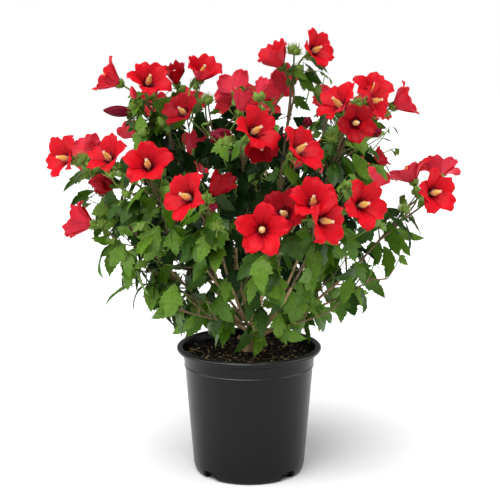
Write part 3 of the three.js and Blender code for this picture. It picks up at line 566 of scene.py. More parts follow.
    def add_shoot(self, stem, start, direction, full_length, radius, parent=None, place=0.0):
        """A shoot that is tried at its full length and shorter, until one clears the blooms and the wood."""
        for cut in SHOOT_CUTS:
            length = full_length * cut
            middle = start + direction * length * SHOOT_BEND
            tip = middle + direction * length * SHOOT_ON + UP * length * SHOOT_RISE
            curve = Curve(start, middle, tip)
            checks = curve.points(SHOOT_CHECKS)
            if not self.is_in_space(stem, checks, SHOOT_MARGIN, SHOOT_REACH):
                continue
            if self.meets_bloom(checks) or self.covers_bloom(checks, TWIG_CLEARANCE):
                continue
            if self.touches_wood(checks, WOOD_GAP, stem.number):
                continue
            twig = Twig(curve, radius, SHOOT_TIP_RADIUS, *SHOOT_LEAFY, parent, place)
            stem.twigs.append(twig)
            return twig
        return None


def tree_of(points):
    """A tree that finds the nearest of the points quickly."""
    tree = KDTree(len(points))
    for index, point in enumerate(points):
        tree.insert(point, index)
    tree.balance()
    return tree


@functools.lru_cache
def grown_shrub(shoots, shoot_length, side_twigs):
    """The shrub, grown once for each set of sizes."""
    return Shrub(shoots, shoot_length, side_twigs)


def shrub():
    """The shrub by the settings of the scene."""
    wood = bpy.context.scene.hibiscus_wood
    return grown_shrub(wood.shoots, wood.shoot_length / MM, wood.side_twigs)


class Joined:
    """Points and faces of many like things, gathered to make one mesh."""

    def __init__(self):
        self.points, self.blocks, self.count = [], [], 0

    def add(self, points, faces, finish=0):
        """Points, with the faces between them, and the number of the first point."""
        start = self.count
        points = np.reshape(points, (-1, 3))
        self.points.append(points)
        self.count += len(points)
        self.add_faces(np.asarray(faces) + start, finish)
        return start

    def add_faces(self, faces, finish=0):
        """Faces between points that are there already, of one finish or with one for each."""
        self.blocks.append((faces, np.broadcast_to(finish, len(faces))))

    def close(self, middle, ring, finish=0, turned=False):
        """Closes a ring, given by its points' numbers, with triangles that meet in a middle point."""
        fan = np.stack([np.full(len(ring), self.count), np.roll(ring, -1), ring], 1)
        self.points.append(np.reshape(middle, (1, 3)))
        self.count += 1
        self.add_faces(fan[:, [0, 2, 1]] if turned else fan, finish)

    def add_copies(self, points, faces, finishes):
        """Copies of one net of faces, each with its own points and its own finish."""
        copies, each = points.shape[:2]
        starts = (each * np.arange(copies))[:, None, None]
        finishes = np.broadcast_to(np.asarray(finishes).reshape(copies, -1), (copies, len(faces)))
        self.add(points, (faces[None] + starts).reshape(-1, faces.shape[1]), finishes.ravel())

    def make(self, name, materials, smooth=True):
        """One object from all that was added, in metres, with a material for each finish."""
        mesh = bpy.data.meshes.new(name)
        sizes = np.concatenate([np.full(len(faces), faces.shape[1]) for faces, _ in self.blocks])
        corners = np.concatenate([faces.ravel() for faces, _ in self.blocks])
        points = np.concatenate(self.points) * MM
        mesh.vertices.add(len(points))
        mesh.vertices.foreach_set("co", points.astype(np.float32).ravel())
        mesh.loops.add(len(corners))
        mesh.loops.foreach_set("vertex_index", corners.astype(np.int32))
        mesh.polygons.add(len(sizes))
        mesh.polygons.foreach_set("loop_start", (np.cumsum(sizes) - sizes).astype(np.int32))
        for material in materials:
            mesh.materials.append(material)
        finishes = np.concatenate([finish for _, finish in self.blocks])
        mesh.polygons.foreach_set("material_index", finishes.astype(np.int32))
        mesh.polygons.foreach_set("use_smooth", np.full(len(sizes), smooth))
        mesh.update(calc_edges=True)
        mesh.validate()
        return linked(bpy.data.objects.new(name, mesh))


def linked(obj):
    """The object, once it is in the scene."""
    bpy.context.scene.collection.objects.link(obj)
    return obj


def placed(obj, slot, *nodes):
    """Makes a piece part of the shrub and hides the nodes that it stands for. The slot is not used."""
    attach(obj, "root")
    if nodes:
        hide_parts(*nodes)
    return obj


def net(rows, columns, closed=False):
    """The four-sided faces of a net of points, in rows that may close on themselves."""
    around = columns if closed else columns - 1
    row, column = np.meshgrid(np.arange(rows - 1), np.arange(around), indexing="ij")
    here = row * columns + column
    beside = row * columns + (column + 1) % columns
    return np.stack([here, beside, beside + columns, here + columns], -1).reshape(-1, 4)


def full_turn(count):
    """As many angles, spread evenly round a circle."""
    return 2 * np.pi * np.arange(count) / count


def round_axis(radii, turns, heights):
    """Points round the upright axis, by their distance from it, their angle and their height."""
    return np.stack(np.broadcast_arrays(radii * np.cos(turns), radii * np.sin(turns), heights), -1)


def rings_along(path, radii, sides):
    """Rings of points square to a path, each with one radius or with one for each point."""
    tangents = unit(np.gradient(path, axis=0))
    turns = full_turn(sides)[:, None]
    spoke = square_to(tangents[0])[0]
    radii = np.asarray(radii, float)
    if radii.ndim < 2:
        radii = radii.reshape(-1, 1)
    radii = np.broadcast_to(radii, (len(path), sides))
    for point, tangent, radius in zip(path, tangents, radii):
        spoke = unit(spoke - tangent * (spoke @ tangent))
        rim = np.cos(turns) * spoke + np.sin(turns) * np.cross(tangent, spoke)
        yield point + radius[:, None] * rim


def add_tube(joined, path, radii, sides, finish=0):
    """A closed tube of one finish, or with a finish for each stretch between two rings."""
    by_stretch = np.broadcast_to(finish, len(path) - 1)
    rings = np.array(list(rings_along(path, radii, sides)))
    start = joined.add(rings, net(len(path), sides, closed=True), np.repeat(by_stretch, sides))
    foot = start + np.arange(sides)
    joined.close(path[0], foot, by_stretch[0])
    joined.close(path[-1], foot + (len(path) - 1) * sides, by_stretch[-1], turned=True)


def wave(points, size, seed):
    """A smooth uneven value from -1 to 1 at each point, that changes over about the given size."""
    draw = np.random.default_rng(seed)
    total = np.zeros(points.shape[:-1])
    for _ in range(6):
        way = unit(draw.normal(size=3)) * blend(0.6, 1.6, draw.random()) * 2 * np.pi / size
        total += np.sin(points @ way + draw.uniform(0, 2 * np.pi))
    return total / 6


# Materials


def linear(hex_colour):
    """A colour as sRGB hex, turned to linear."""
    channels = [int(hex_colour[i:i + 2], 16) / 255 for i in (1, 3, 5)]
    return tuple(c / 12.92 if c <= 0.04045 else ((c + 0.055) / 1.055) ** 2.4 for c in channels)


def add_node(tree, kind, inputs=None, links=None, **settings):
    """Adds a node with its settings, its inputs' values and its inputs' links."""
    node = tree.nodes.new(kind)
    for name, value in settings.items():
        setattr(node, name, value)
    for name, value in (inputs or {}).items():
        node.inputs[name].default_value = value
    for name, output in (links or {}).items():
        tree.links.new(output, node.inputs[name])
    return node


def new_material(name, colour, **inputs):
    """A material with one shader whose even values are set on its own sockets."""
    material = bpy.data.materials.new(name)
    material.use_nodes = True
    shader = material.node_tree.nodes["Principled BSDF"]
    shader.inputs["Base Color"].default_value = (*colour, 1)
    for socket, value in inputs.items():
        shader.inputs[socket.replace("_", " ")].default_value = value
    return material


def grained(material, size_mm, depth_mm, dark, pale, stretch=(1, 1, 1), contrast=(0.35, 0.65), detail=3):
    """The material with a grain of one real size, raised by a depth, that mixes two shades."""
    tree = material.node_tree
    shader = tree.nodes["Principled BSDF"]
    place = add_node(tree, "ShaderNodeTexCoord")
    scaled = add_node(tree, "ShaderNodeMapping", {"Scale": stretch}, {"Vector": place.outputs["Object"]})
    noise = add_node(tree, "ShaderNodeTexNoise", {"Scale": 1 / (size_mm * MM), "Detail": detail},
                     {"Vector": scaled.outputs["Vector"]})
    bump = add_node(tree, "ShaderNodeBump", {"Strength": 1, "Distance": depth_mm * MM},
                    {"Height": noise.outputs["Fac"]})
    tree.links.new(bump.outputs["Normal"], shader.inputs["Normal"])
    ramp = add_node(tree, "ShaderNodeValToRGB", links={"Fac": noise.outputs["Fac"]})
    for stop, position, shade in zip(ramp.color_ramp.elements, contrast, (dark, pale)):
        stop.position, stop.color = position, (*shade, 1)
    tree.links.new(ramp.outputs["Color"], shader.inputs["Base Color"])
    return material


def shaded(colour, share):
    """A colour made darker or paler by a share."""
    return tuple(min(1, channel * share) for channel in colour)


def leaf_material(name, colour, gloss=0.22):
    """Hibiscus leaf: a waxy upper skin over soft veined tissue, so it is satin and a little mottled."""
    material = new_material(name, colour, Roughness=0.42, Specular_IOR_Level=gloss)
    return grained(material, 5, 0.5, shaded(colour, 0.8), shaded(colour, 1.15))


def petal_material(name, colour, roughness=0.5):
    """Hibiscus petal: thin crepe tissue with fine ribs, so it is soft, with a faint velvet sheen."""
    material = new_material(name, colour, Roughness=roughness, Specular_IOR_Level=0.1,
                            Subsurface_Weight=0.5, Subsurface_Scale=0.004)
    return grained(material, 2.2, 0.25, shaded(colour, 0.9), shaded(colour, 1.08))


def bark_material(name, colour, pale):
    """Hibiscus bark: smooth grey-brown cork, drawn out along the cane and pitted by lenticels."""
    material = new_material(name, colour, Roughness=0.78, Specular_IOR_Level=0.3)
    return grained(material, 2.4, 0.9, colour, pale, stretch=(1, 1, 0.28), contrast=(0.38, 0.62), detail=5)


# Property groups


def length_property(name, description, default, low, high):
    return FloatProperty(name=name, description=description, default=default,
                         min=low, max=high, unit="LENGTH")


def colour_property(name, description, hex_colour):
    return FloatVectorProperty(name=name, description=description, default=linear(hex_colour),
                               min=0, max=1, subtype="COLOR")


def count_property(name, description, default, high):
    return IntProperty(name=name, description=description, default=default, min=0, max=high)


def strength_property(name, description, default):
    return FloatProperty(name=name, description=description, default=default, min=0)


class HibiscusWood(bpy.types.PropertyGroup):
    shoots: count_property("Shoots", "Side shoots on each leafy stem", 12, 30)
    side_twigs: count_property("Side twigs", "Finer twigs on each shoot", 1, 4)
    shoot_length: length_property("Shoot length", "Length of a side shoot", 0.12, 0.05, 0.2)
    relief: length_property("Bark relief", "Depth of the ridges on the trunk's bark", 0.0013, 0, 0.004)
    old_bark: colour_property("Old bark", "Colour of the trunk and the canes' feet", "#84704f")
    young_bark: colour_property("Young bark", "Colour of the canes' upper parts", "#5f5038")


class HibiscusLeaves(bpy.types.PropertyGroup):
    length: length_property("Leaf length", "Length of a full-grown blade", 0.069, 0.03, 0.1)
    spacing: length_property("Leaf spacing", "Distance from leaf to leaf along a twig", 0.0178, 0.01, 0.05)
    petiole: length_property("Leaf stalk", "Length of a full-grown leaf's stalk", 0.016, 0.004, 0.04)
    # The inner leaves' dark green is painted shade, for the shadowed inside of the crown.
    deep: colour_property("Inner leaves, painted shade", "Green of the leaves inside the crown", "#122809")
    full: colour_property("Full leaves", "Green of most full-grown leaves", "#3f640e")
    bluish: colour_property("Bluish leaves", "Green of the leaves that look bluish", "#2b4b10")
    bright: colour_property("Bright leaves", "Green of the leaves in the light", "#567b1e")
    young: colour_property("Young leaves", "Green of the small leaves at the tips", "#5d7a2b")


class HibiscusBlooms(bpy.types.PropertyGroup):
    petal_width: length_property("Petal width", "Width of an open bloom's petal", 0.0395, 0.02, 0.06)
    petal: colour_property("Petal", "Red of a fresh petal", "#bf0a1b")
    deep_petal: colour_property("Deep petal", "Red of an older bloom", "#8a0213")
    # The back's rose red is partly the petal's own paler back and partly painted light: it is lightened to
    # stand in for light that shines through the thin petal.
    petal_back_with_painted_light: colour_property("Petal back with painted light", "Rose red of a petal's back", "#d63247")
    spent: colour_property("Spent petal", "Dark red of a furled or spent bloom", "#6c0a22")
    eye: colour_property("Eye", "Maroon at the petals' feet", "#520614")
    column: colour_property("Column", "Cream of the column and its anthers", "#f3c472")
    column_foot: colour_property("Column foot", "Pink of the column's foot", "#dd9a86")
    calyx: colour_property("Calyx", "Green of the calyces and the buds", "#64802f")
    bract: colour_property("Bracts", "Yellow-green of the narrow bracts round each calyx", "#869e46")


class HibiscusPot(bpy.types.PropertyGroup):
    wall: length_property("Wall", "Thickness of the pot's wall", 0.0025, 0.001, 0.005)
    plastic: colour_property("Plastic", "Colour of the pot's plastic", "#070808")
    chips: count_property("Bark chips", "Chips of bark on the mix", 2600, 8000)
    perlite: count_property("Perlite", "Grains of perlite on the mix", 150, 2000)
    peat: colour_property("Peat", "Colour of the mix between its chips", "#080604")


class HibiscusStage(bpy.types.PropertyGroup):
    camera_distance: length_property("Camera distance", "From the shrub's axis to the camera", 2.6, 0.5, 10)
    camera_height: length_property("Camera height", "Height of the camera above the ground", 0.937, 0, 4)
    key: strength_property("Overhead light", "Strength of the soft overhead light", 4.7)
    side: strength_property("Side lights", "Power of each soft side light", 9)
    sky: strength_property("Surrounding light", "Strength of the white surround", 0.2)


# The trunk, the canes and the twigs


TRUNK_RINGS, TRUNK_SIDES = 34, 40
FLARE_LOBES = 5
FLARE_SHARE = 1 / 3
BARK_RIDGES = 13
KNUCKLE_FROM = 0.35
ROUNDING_FROM = 0.85
CANE_SIDES = 8
CANE_RING_STEP = 5
# The canes thicken at their leaf joints, this far apart, and turn young at this share of their length.
JOINT_SPACING = 26
YOUNG_FROM = 0.5
TWIG_SIDES = 5
TWIG_RING_STEP = 9
# A twig is brown up to this share of it, and green beyond. A bloom's stalk stays brown for longer.
TWIG_BROWN, STALK_BROWN = 0.5, 0.75


def trunk_radii(shares, turns, relief):
    """The flare, the pruning head and the rounded top of the trunk, ridged by its bark."""
    flare = (FLARE_RADIUS - TRUNK_RADIUS) * np.maximum(0, 1 - shares / FLARE_SHARE) ** 2
    lobes = flare / 3 * np.cos(FLARE_LOBES * turns)
    swell = (KNUCKLE_RADIUS - TRUNK_RADIUS) * np.sin(np.pi * np.clip((shares - KNUCKLE_FROM) / 0.75, 0, 1))
    rounding = np.sqrt(1 - (np.maximum(0, shares - ROUNDING_FROM) / 0.17) ** 2)
    uneven = 1.4 * wave(round_axis(16, turns, shares * 48), 9, 3) - 1.4
    ridges = relief * (np.sin(BARK_RIDGES * turns + 2.4 * np.sin(9 * shares)) + uneven)
    return (TRUNK_RADIUS + flare + lobes + swell) * rounding + ridges


def add_trunk(joined, relief):
    """The trunk from its root flare to its pruning head, with the stub of a cut branch."""
    line = trunk_line()
    shares = np.linspace(0, 1, TRUNK_RINGS)
    grid = np.meshgrid(shares, full_turn(TRUNK_SIDES), indexing="ij")
    add_tube(joined, line.points(shares), trunk_radii(*grid, relief), TRUNK_SIDES)
    stub_way = direction_of(STUB_AZIMUTH, STUB_LEAN)
    stub = line.point(STUB_AT) + np.linspace(0, STUB_LENGTH, 9)[:, None] * stub_way
    add_tube(joined, stub, STUB_RADIUS - 0.4 + 0.3 * wave(stub, 6, 5), 12)


def add_cane(joined, stem):
    """A cane whose bark thickens a little at each leaf joint, and turns younger towards its tip."""
    length = stem.curve.length()
    shares = np.linspace(0, 1, int(length / CANE_RING_STEP))
    path = stem.curve.points(shares)
    joints = 0.16 * np.maximum(0, np.cos(2 * np.pi * shares * length / JOINT_SPACING + stem.number)) ** 6
    radii = CANE_SHARE * stem.radius(shares) * (1 + joints + 0.07 * wave(path, 16, stem.number))
    sway = 0.8 * np.stack([wave(path, 60, 40 + i) for i in range(3)], 1) * np.sin(np.pi * shares)[:, None]
    is_young = (shares[1:] + 0.08 * wave(path[1:], 40, 8) > YOUNG_FROM).astype(int)
    add_tube(joined, path + sway, radii, CANE_SIDES, is_young)


def add_twig(joined, twig):
    """A twig up to its last leaf, with small swellings where leaves leave it."""
    rings = max(5, int(twig.curve.length(0, twig.tip) / TWIG_RING_STEP))
    shares = np.linspace(0, twig.tip, rings)
    swellings = 0.08 * (np.arange(rings) % 3 == 0)
    radii = blend(twig.radius, twig.tip_radius, shares) * (1 + swellings)
    brown = STALK_BROWN if twig.bears_bloom else TWIG_BROWN
    add_tube(joined, twig.curve.points(shares), radii, TWIG_SIDES, (shares[1:] > brown).astype(int))


class HIBISCUS_OT_canes(bpy.types.Operator):
    """Grows the trunk, the canes and their branches, with bark in relief"""
    bl_idname = "hibiscus.canes"
    bl_label = "Trunk and canes"

    def execute(self, context):
        wood = context.scene.hibiscus_wood
        joined = Joined()
        add_trunk(joined, wood.relief / MM)
        for stem in shrub().stems:
            add_cane(joined, stem)
        canes = joined.make("canes", [
            bark_material("Hibiscus bark, old", wood.old_bark, shaded(wood.old_bark, 1.7)),
            bark_material("Hibiscus bark, young", wood.young_bark, shaded(wood.young_bark, 1.5)),
        ])
        placed(canes, "bark", "trunk", *(f"bough_{stem.name}" for stem in shrub().stems))
        return {"FINISHED"}


class HIBISCUS_OT_twigs(bpy.types.Operator):
    """Grows the side shoots, the finer twigs and the blooms' stalks"""
    bl_idname = "hibiscus.twigs"
    bl_label = "Twigs"

    def execute(self, context):
        joined = Joined()
        plant = shrub()
        # A twig ends at its last leaf, so the leaves grow first.
        leaves_of(plant)
        for stem in plant.stems:
            for twig in stem.twigs:
                if twig.tip:
                    add_twig(joined, twig)
        wood = context.scene.hibiscus_wood
        blooms = context.scene.hibiscus_blooms
        twigs = joined.make("twigs", [
            bark_material("Hibiscus twig, brown", wood.young_bark, shaded(wood.young_bark, 1.4)),
            bark_material("Hibiscus twig, green", shaded(blooms.calyx, 0.72), blooms.calyx),
        ])
        placed(twigs, "bark")
        return {"FINISHED"}


# The leaves

# Half of a leaf's outline as shares of its length: how far along it and how far out. The first has
# deep side lobes, the second shallow ones, and each leaf lies between them.
DEEP_LOBES = np.array([
    (0, 0), (0.03, 0.05), (0.12, 0.13), (0.21, 0.20), (0.27, 0.28), (0.33, 0.26), (0.40, 0.355),
    (0.46, 0.33), (0.55, 0.42), (0.545, 0.335), (0.525, 0.26), (0.50, 0.19), (0.56, 0.195), (0.635, 0.235),
    (0.66, 0.19), (0.735, 0.19), (0.76, 0.135), (0.85, 0.105), (0.88, 0.06), (1, 0),
])
SHALLOW_LOBES = np.array([
    (0, 0), (0.03, 0.07), (0.12, 0.15), (0.20, 0.22), (0.25, 0.30), (0.31, 0.285), (0.38, 0.355),
    (0.43, 0.33), (0.50, 0.37), (0.52, 0.30), (0.54, 0.265), (0.56, 0.235), (0.61, 0.235), (0.67, 0.25),
    (0.695, 0.20), (0.76, 0.195), (0.785, 0.145), (0.87, 0.11), (0.90, 0.065), (1, 0),
])
# The middle row of a blade's points lies at this share of the way from its midrib to its outline.
MIDDLE_ROW = 0.52
SIDE_RIB_SLOPE = 0.72
# How far the leaves reach out from the middle at each height, in millimetres: the crown is narrow
# just above the pot, widest a little above its middle, and closes at the top.
LEAFY_OUTLINE = (
    (255, 85), (290, 125), (320, 175), (350, 225), (400, 262), (450, 300), (520, 325), (600, 345), (660, 330),
    (720, 290), (770, 215), (810, 140), (850, 70),
)
# How many of the leaves stay at each share of that reach: few hang in the shade inside the crown,
# and the outermost ones stand apart.
LEAFINESS = ((0, 0.25), (0.35, 0.48), (0.6, 0.9), (0.8, 0.78), (1, 0.42), (1.08, 0.15), (1.12, 0))
# Below the first height leaves don't thin out inside the crown. Young leaves grow above the second.
LOW_LEAVES = 400
YOUNG_LEAVES = 430
# Heights, with how large the leaves are there and how many of them stay.
LEAF_SIZES = ((300, 1.08), (480, 1), (700, 0.78))
LEAVES_BY_HEIGHT = ((280, 0.8), (330, 1), (680, 1), (780, 0.5))
# The turns and the sizes that a leaf tries in order until it finds room.
LEAF_TRIES = ((0, 1), (75, 1), (-75, 0.92), (150, 0.85), (30, 0.75), (-40, 0.65), (180, 0.55))
LEAVES_IN_A_PIECE = 1100
STALK_LEAN = 58
# A blade turns round its midrib to face the light, which comes from above and from outside the crown.
LIGHT_ABOVE = 0.5
LIGHT_OUTSIDE = 0.6
LEAF_STRAY = 0.55
# The least room, in millimetres: over the pot, to a bloom, to wood, to the next stem's leaves, and
# between two blades' middles, which are looked up in cells.
LEAF_CLEARANCE = 6
LEAF_TO_BLOOM = 52
LEAF_TO_WOOD = 3.5
LEAF_OVERLAP = 6
LEAF_SPACING = 13
LEAF_CELL = 24
# How the greens are dealt out: one to a spray, with a dark green painted as shade on the leaves
# inside the crown, and young ones outside.
SHADE_PAINTED_INNER, SHADE_FULL, SHADE_BLUISH, SHADE_BRIGHT, SHADE_YOUNG = range(5)
SPRAY_SHADES = [SHADE_FULL, SHADE_BLUISH, SHADE_BRIGHT]
SPRAY_SHARES = [0.42, 0.3, 0.28]
PAINTED_SHADE_INSIDE_TO = 0.58
YOUNG_OUTSIDE = 0.7


def leaf_net(outline):
    """A blade's flat points, from the midrib through a middle row to the outline, on both sides."""
    along, out = outline[..., 0], outline[..., 1]
    rib = np.maximum.accumulate(along - SIDE_RIB_SLOPE * out, axis=-1)
    rows = [(blend(rib, along, share), out * share) for share in (1, MIDDLE_ROW)]
    right = [np.stack(row, -1) for row in rows]
    left = [points * (1, -1) for points in right]
    return np.concatenate([right[0], right[1], np.stack([rib, 0 * out], -1), left[1], left[0]], axis=-2)


LEAF_POINTS_DEEP, LEAF_POINTS_SHALLOW = leaf_net(DEEP_LOBES), leaf_net(SHALLOW_LOBES)
LEAF_ROWS = 5
LEAF_FACES = net(LEAF_ROWS, len(DEEP_LOBES))
# The middle rows rise and fall from point to point, as the tissue does between a leaf's veins.
PLEATS = (0.007 * np.outer((0, 1, 0, 1, 0), (-1.0) ** np.arange(len(DEEP_LOBES)))).ravel()
BLADE_WIDTHS = (0.68, 0.94)
BLADE_ARCHES = (0.35, 1.35)
BLADE_FOLDS = (0.10, 0.42)
BLADE_TWIST = 0.22
# Each ring of a leaf's stalk: its share of the stalk, how far it bows, and its thickness.
STALK_RINGS = ((0, 0, 1.25), (0.35, 0.75, 1), (0.7, 1, 1), (1, 0, 0.9), (1.12, -0.3, 0.3))
STALK_SIDES = 3


class Leaf:
    """Where a leaf's stalk starts and ends, the way its blade points and faces, and its looks."""

    def __init__(self, root, foot, way, face, length):
        self.root, self.foot, self.way, self.face, self.length = root, foot, way, face, length
        self.shade = SHADE_PAINTED_INNER

    def checks(self):
        """The tip, the middle and both side lobes, where a leaf could be in the way."""
        aside = np.cross(self.way, self.face) * self.length * 0.33
        middle = self.foot + self.way * self.length * 0.5
        tip = self.foot + self.way * self.length * 0.95 - self.face * self.length * 0.25
        return np.array([tip, middle, middle + aside, middle - aside])


def leaf_at(twig, share, turn, length, petiole, droop, draw):
    """A leaf whose stalk leaves the twig. Its blade hangs and turns its face out to the light."""
    root = twig.curve.point(share)
    stalk_way = leaning_from(twig.curve.tangent(share), STALK_LEAN, turn)
    outward = unit(root - (FORK[0], FORK[1], root[2]) + 1e-6)
    flat = unit(stalk_way * (1, 1, 0) + 0.35 * outward + 1e-6)
    dip = math.radians(droop)
    way = math.cos(dip) * flat - math.sin(dip) * UP
    light = LIGHT_ABOVE * UP + LIGHT_OUTSIDE * outward + draw.normal(0, LEAF_STRAY, 3)
    face = unit(light - (light @ way) * way + 1e-6)
    foot = root + unit(stalk_way + 0.25 * way) * petiole * blend(0.7, 1.25, draw.random())
    return Leaf(root, foot, way, face, length)


def shade_of(leaf, twig_shade, is_young):
    """Which green a leaf has: by its spray and by its age, with a dark green painted as shade on the leaves
    that lie inside the crown.
    """
    share = crown_share(leaf.foot[None])[0]
    if is_young and share > YOUNG_OUTSIDE:
        return SHADE_YOUNG
    return twig_shade if share > PAINTED_SHADE_INSIDE_TO else SHADE_PAINTED_INNER


def leaves_of(plant):
    """The shrub's leaves by the settings of the scene."""
    settings = bpy.context.scene.hibiscus_leaves
    return grow_leaves(plant, settings.length / MM, settings.spacing / MM, settings.petiole / MM)


@functools.lru_cache
def grow_leaves(plant, full_length, spacing, petiole):
    """Leaves along every twig and leader by the golden angle, skipped where they would be in the way."""
    draw = np.random.default_rng(7)
    taken = {}
    leaves = []
    for stem in plant.stems:
        leader = Twig(stem.curve, 0, 0, stem.bare * FIRST_SHOOT, 1.0)
        for twig in [leader, *stem.twigs]:
            length = twig.curve.length(twig.start, twig.end)
            count = 1 if twig.is_low else max(2, round(length / spacing))
            twig_shade = draw.choice(SPRAY_SHADES, p=SPRAY_SHARES)
            phase = 360 * draw.random()
            for i in range(count + 1):
                share = blend(twig.start, twig.end, i / count)
                height = twig.curve.point(share)[2]
                is_tip = i >= count - 1 and height > YOUNG_LEAVES and not twig.bears_bloom
                size = blend(0.78, 1.12, draw.random()) * (blend(0.4, 0.6, draw.random()) if is_tip else 1)
                size *= looked_up(height, LEAF_SIZES)
                droops = (5, 35) if is_tip or twig.bears_bloom else (18, 78)
                droop = blend(*droops, draw.random())
                for twist, cut in LEAF_TRIES:
                    turn = phase + GOLDEN_ANGLE * i + twist
                    lengths = full_length * size * cut, petiole * size * cut
                    leaf = leaf_at(twig, share, turn, *lengths, droop, draw)
                    if draw.random() > leafiness(leaf.checks()[1], twig.bears_bloom):
                        break
                    if not has_room(leaf, plant, stem, twig.is_low) or is_crowded(leaf, taken):
                        continue
                    leaf.shade = shade_of(leaf, twig_shade, is_tip)
                    leaves.append(leaf)
                    twig.tip = max(twig.tip, share)
                    break
        for twig in reversed(stem.twigs):
            if twig.parent and twig.tip:
                twig.parent.tip = max(twig.parent.tip, twig.place)
    return leaves


def looked_up(value, table):
    """The value that a table of pairs gives, drawn straight between its rows."""
    return np.interp(value, *zip(*table))


def leafiness(point, is_by_bloom):
    """The share of leaves that stay at a place in the crown."""
    depth = CROWN_RADII[1] / CROWN_RADII[0]
    out = math.hypot(point[0], point[1] / depth) / looked_up(point[2], LEAFY_OUTLINE)
    if point[2] < LOW_LEAVES:
        out = max(out, 0.6)
    high = 1 if is_by_bloom else looked_up(point[2], LEAVES_BY_HEIGHT)
    return looked_up(out, LEAFINESS) * high


def has_room(leaf, plant, stem, is_low):
    """Whether a leaf is over the pot, in its stem's space, and clear of the blooms and the wood."""
    checks = leaf.checks()
    if checks[:, 2].min() < POT_HEIGHT + LEAF_CLEARANCE:
        return False
    if not is_low and not plant.is_in_space(stem, checks, -LEAF_OVERLAP):
        return False
    if plant.covers_bloom(checks, LEAF_TO_BLOOM) or plant.meets_bloom(checks) or plant.hides_bloom(checks):
        return False
    return not plant.touches_wood(checks, LEAF_TO_WOOD, None)


def is_crowded(leaf, taken):
    """Whether another blade's middle lies close to this one's. A free place is then taken."""
    middle = leaf.foot + leaf.way * leaf.length * 0.5
    home = tuple((middle // LEAF_CELL).astype(int))
    for steps in itertools.product((-1, 0, 1), repeat=3):
        for other in taken.get(tuple(np.add(home, steps)), ()):
            if np.linalg.norm(other - middle) < LEAF_SPACING:
                return True
    taken.setdefault(home, []).append(middle)
    return False


def add_leaves(joined, leaves, seed):
    """Blades that arch along their length, fold along the midrib, and wave at their edges."""
    draw = np.random.default_rng(seed)
    each = (len(leaves), 1)
    names = ("root", "foot", "way", "face")
    root, foot, way, face = (np.array([getattr(leaf, name) for leaf in leaves])[:, None] for name in names)
    side = np.cross(way, face)
    length = np.array([leaf.length for leaf in leaves])[:, None]
    flat = blend(LEAF_POINTS_DEEP, LEAF_POINTS_SHALLOW, draw.random((*each, 1)))
    along, out = flat[..., 0], flat[..., 1] * draw.uniform(*BLADE_WIDTHS, each)
    out = out * (1 + 0.07 * np.sign(out) * draw.normal(size=each))
    arch = draw.uniform(*BLADE_ARCHES, each)
    fold = draw.uniform(*BLADE_FOLDS, each)
    twist = draw.normal(0, BLADE_TWIST, each)
    ripple = 0.014 * np.sin(draw.uniform(9, 14, each) * along + np.sign(out) + draw.uniform(0, 6, each))
    raised = np.abs(out) * np.sin(fold) - 0.9 * out**2 + ripple * np.abs(out) / 0.3 + PLEATS
    across = out * np.cos(fold)
    rolled_across = across * np.cos(twist * along) - raised * np.sin(twist * along)
    rolled_raised = across * np.sin(twist * along) + raised * np.cos(twist * along)
    bend = arch * along
    forward = np.sin(bend) / arch + rolled_raised * np.sin(bend)
    upward = (np.cos(bend) - 1) / arch + rolled_raised * np.cos(bend)
    points = foot + (length * forward)[..., None] * way + (length * rolled_across)[..., None] * side
    points = points + (length * upward)[..., None] * face
    joined.add_copies(points, LEAF_FACES, np.array([leaf.shade for leaf in leaves]))
    add_leaf_stalks(joined, root, foot, side, face, length[..., None])


def add_leaf_stalks(joined, root, foot, side, face, length):
    """Thin stalks that bow under their blades and run on a little below the midribs."""
    share, bow, taper = np.array(STALK_RINGS).T[..., None]
    path = blend(root, foot, share) + 0.02 * length * bow * face
    turns = full_turn(STALK_SIDES)[:, None]
    spokes = np.cos(turns) * side + np.sin(turns) * face
    thickness = np.maximum(length * 0.013, 0.75) * taper
    points = path[:, :, None] + thickness[..., None] * spokes[:, None]
    faces = net(len(STALK_RINGS), STALK_SIDES, closed=True)
    joined.add_copies(points.reshape(len(root), -1, 3), faces, np.full(len(root), SHADE_YOUNG))


class HIBISCUS_OT_leaves(bpy.types.Operator):
    """Grows the lobed leaves with their stalks, in several greens"""
    bl_idname = "hibiscus.leaves"
    bl_label = "Leaves"

    def execute(self, context):
        settings = context.scene.hibiscus_leaves
        plant = shrub()
        leaves = leaves_of(plant)
        if not leaves:
            raise RuntimeError("no leaf found room on the shrub")
        # In the order of the shades.
        greens = [
            # The inner green is painted shade on the leaves inside the crown.
            leaf_material("Hibiscus leaf, inner", settings.deep, 0.08),
            leaf_material("Hibiscus leaf, full", settings.full),
            leaf_material("Hibiscus leaf, bluish", settings.bluish),
            leaf_material("Hibiscus leaf, bright", settings.bright),
            leaf_material("Hibiscus leaf, young", settings.young),
        ]
        masses = [f"foliage_{stem.name}" for stem in plant.stems]
        pieces = math.ceil(len(leaves) / LEAVES_IN_A_PIECE)
        each = math.ceil(len(leaves) / pieces)
        for k in range(pieces):
            joined = Joined()
            add_leaves(joined, leaves[k * each:(k + 1) * each], 100 + k)
            placed(joined.make(f"leaves_{k + 1}", greens), "foliage", *masses)
        return {"FINISHED"}


# The blooms

PETAL_ROWS, PETAL_COLUMNS = 12, 15
PETAL_THICKNESS = 0.35
PETAL_FOOT = 3
EDGE_FALLS = (0.32, 0.38)
PETAL_LENGTHS = (0.89, 1.05)
PETAL_RIBS = 5
CUP_PETAL_SHARE = 0.8
FINISH_PETAL, FINISH_DEEP, FINISH_BACK_WITH_PAINTED_LIGHT, FINISH_SPENT, FINISH_EYE, FINISH_FLAME, FINISH_BLUSH = range(7)
DEEP_FORMS = ("deep", "cup", "ageing")
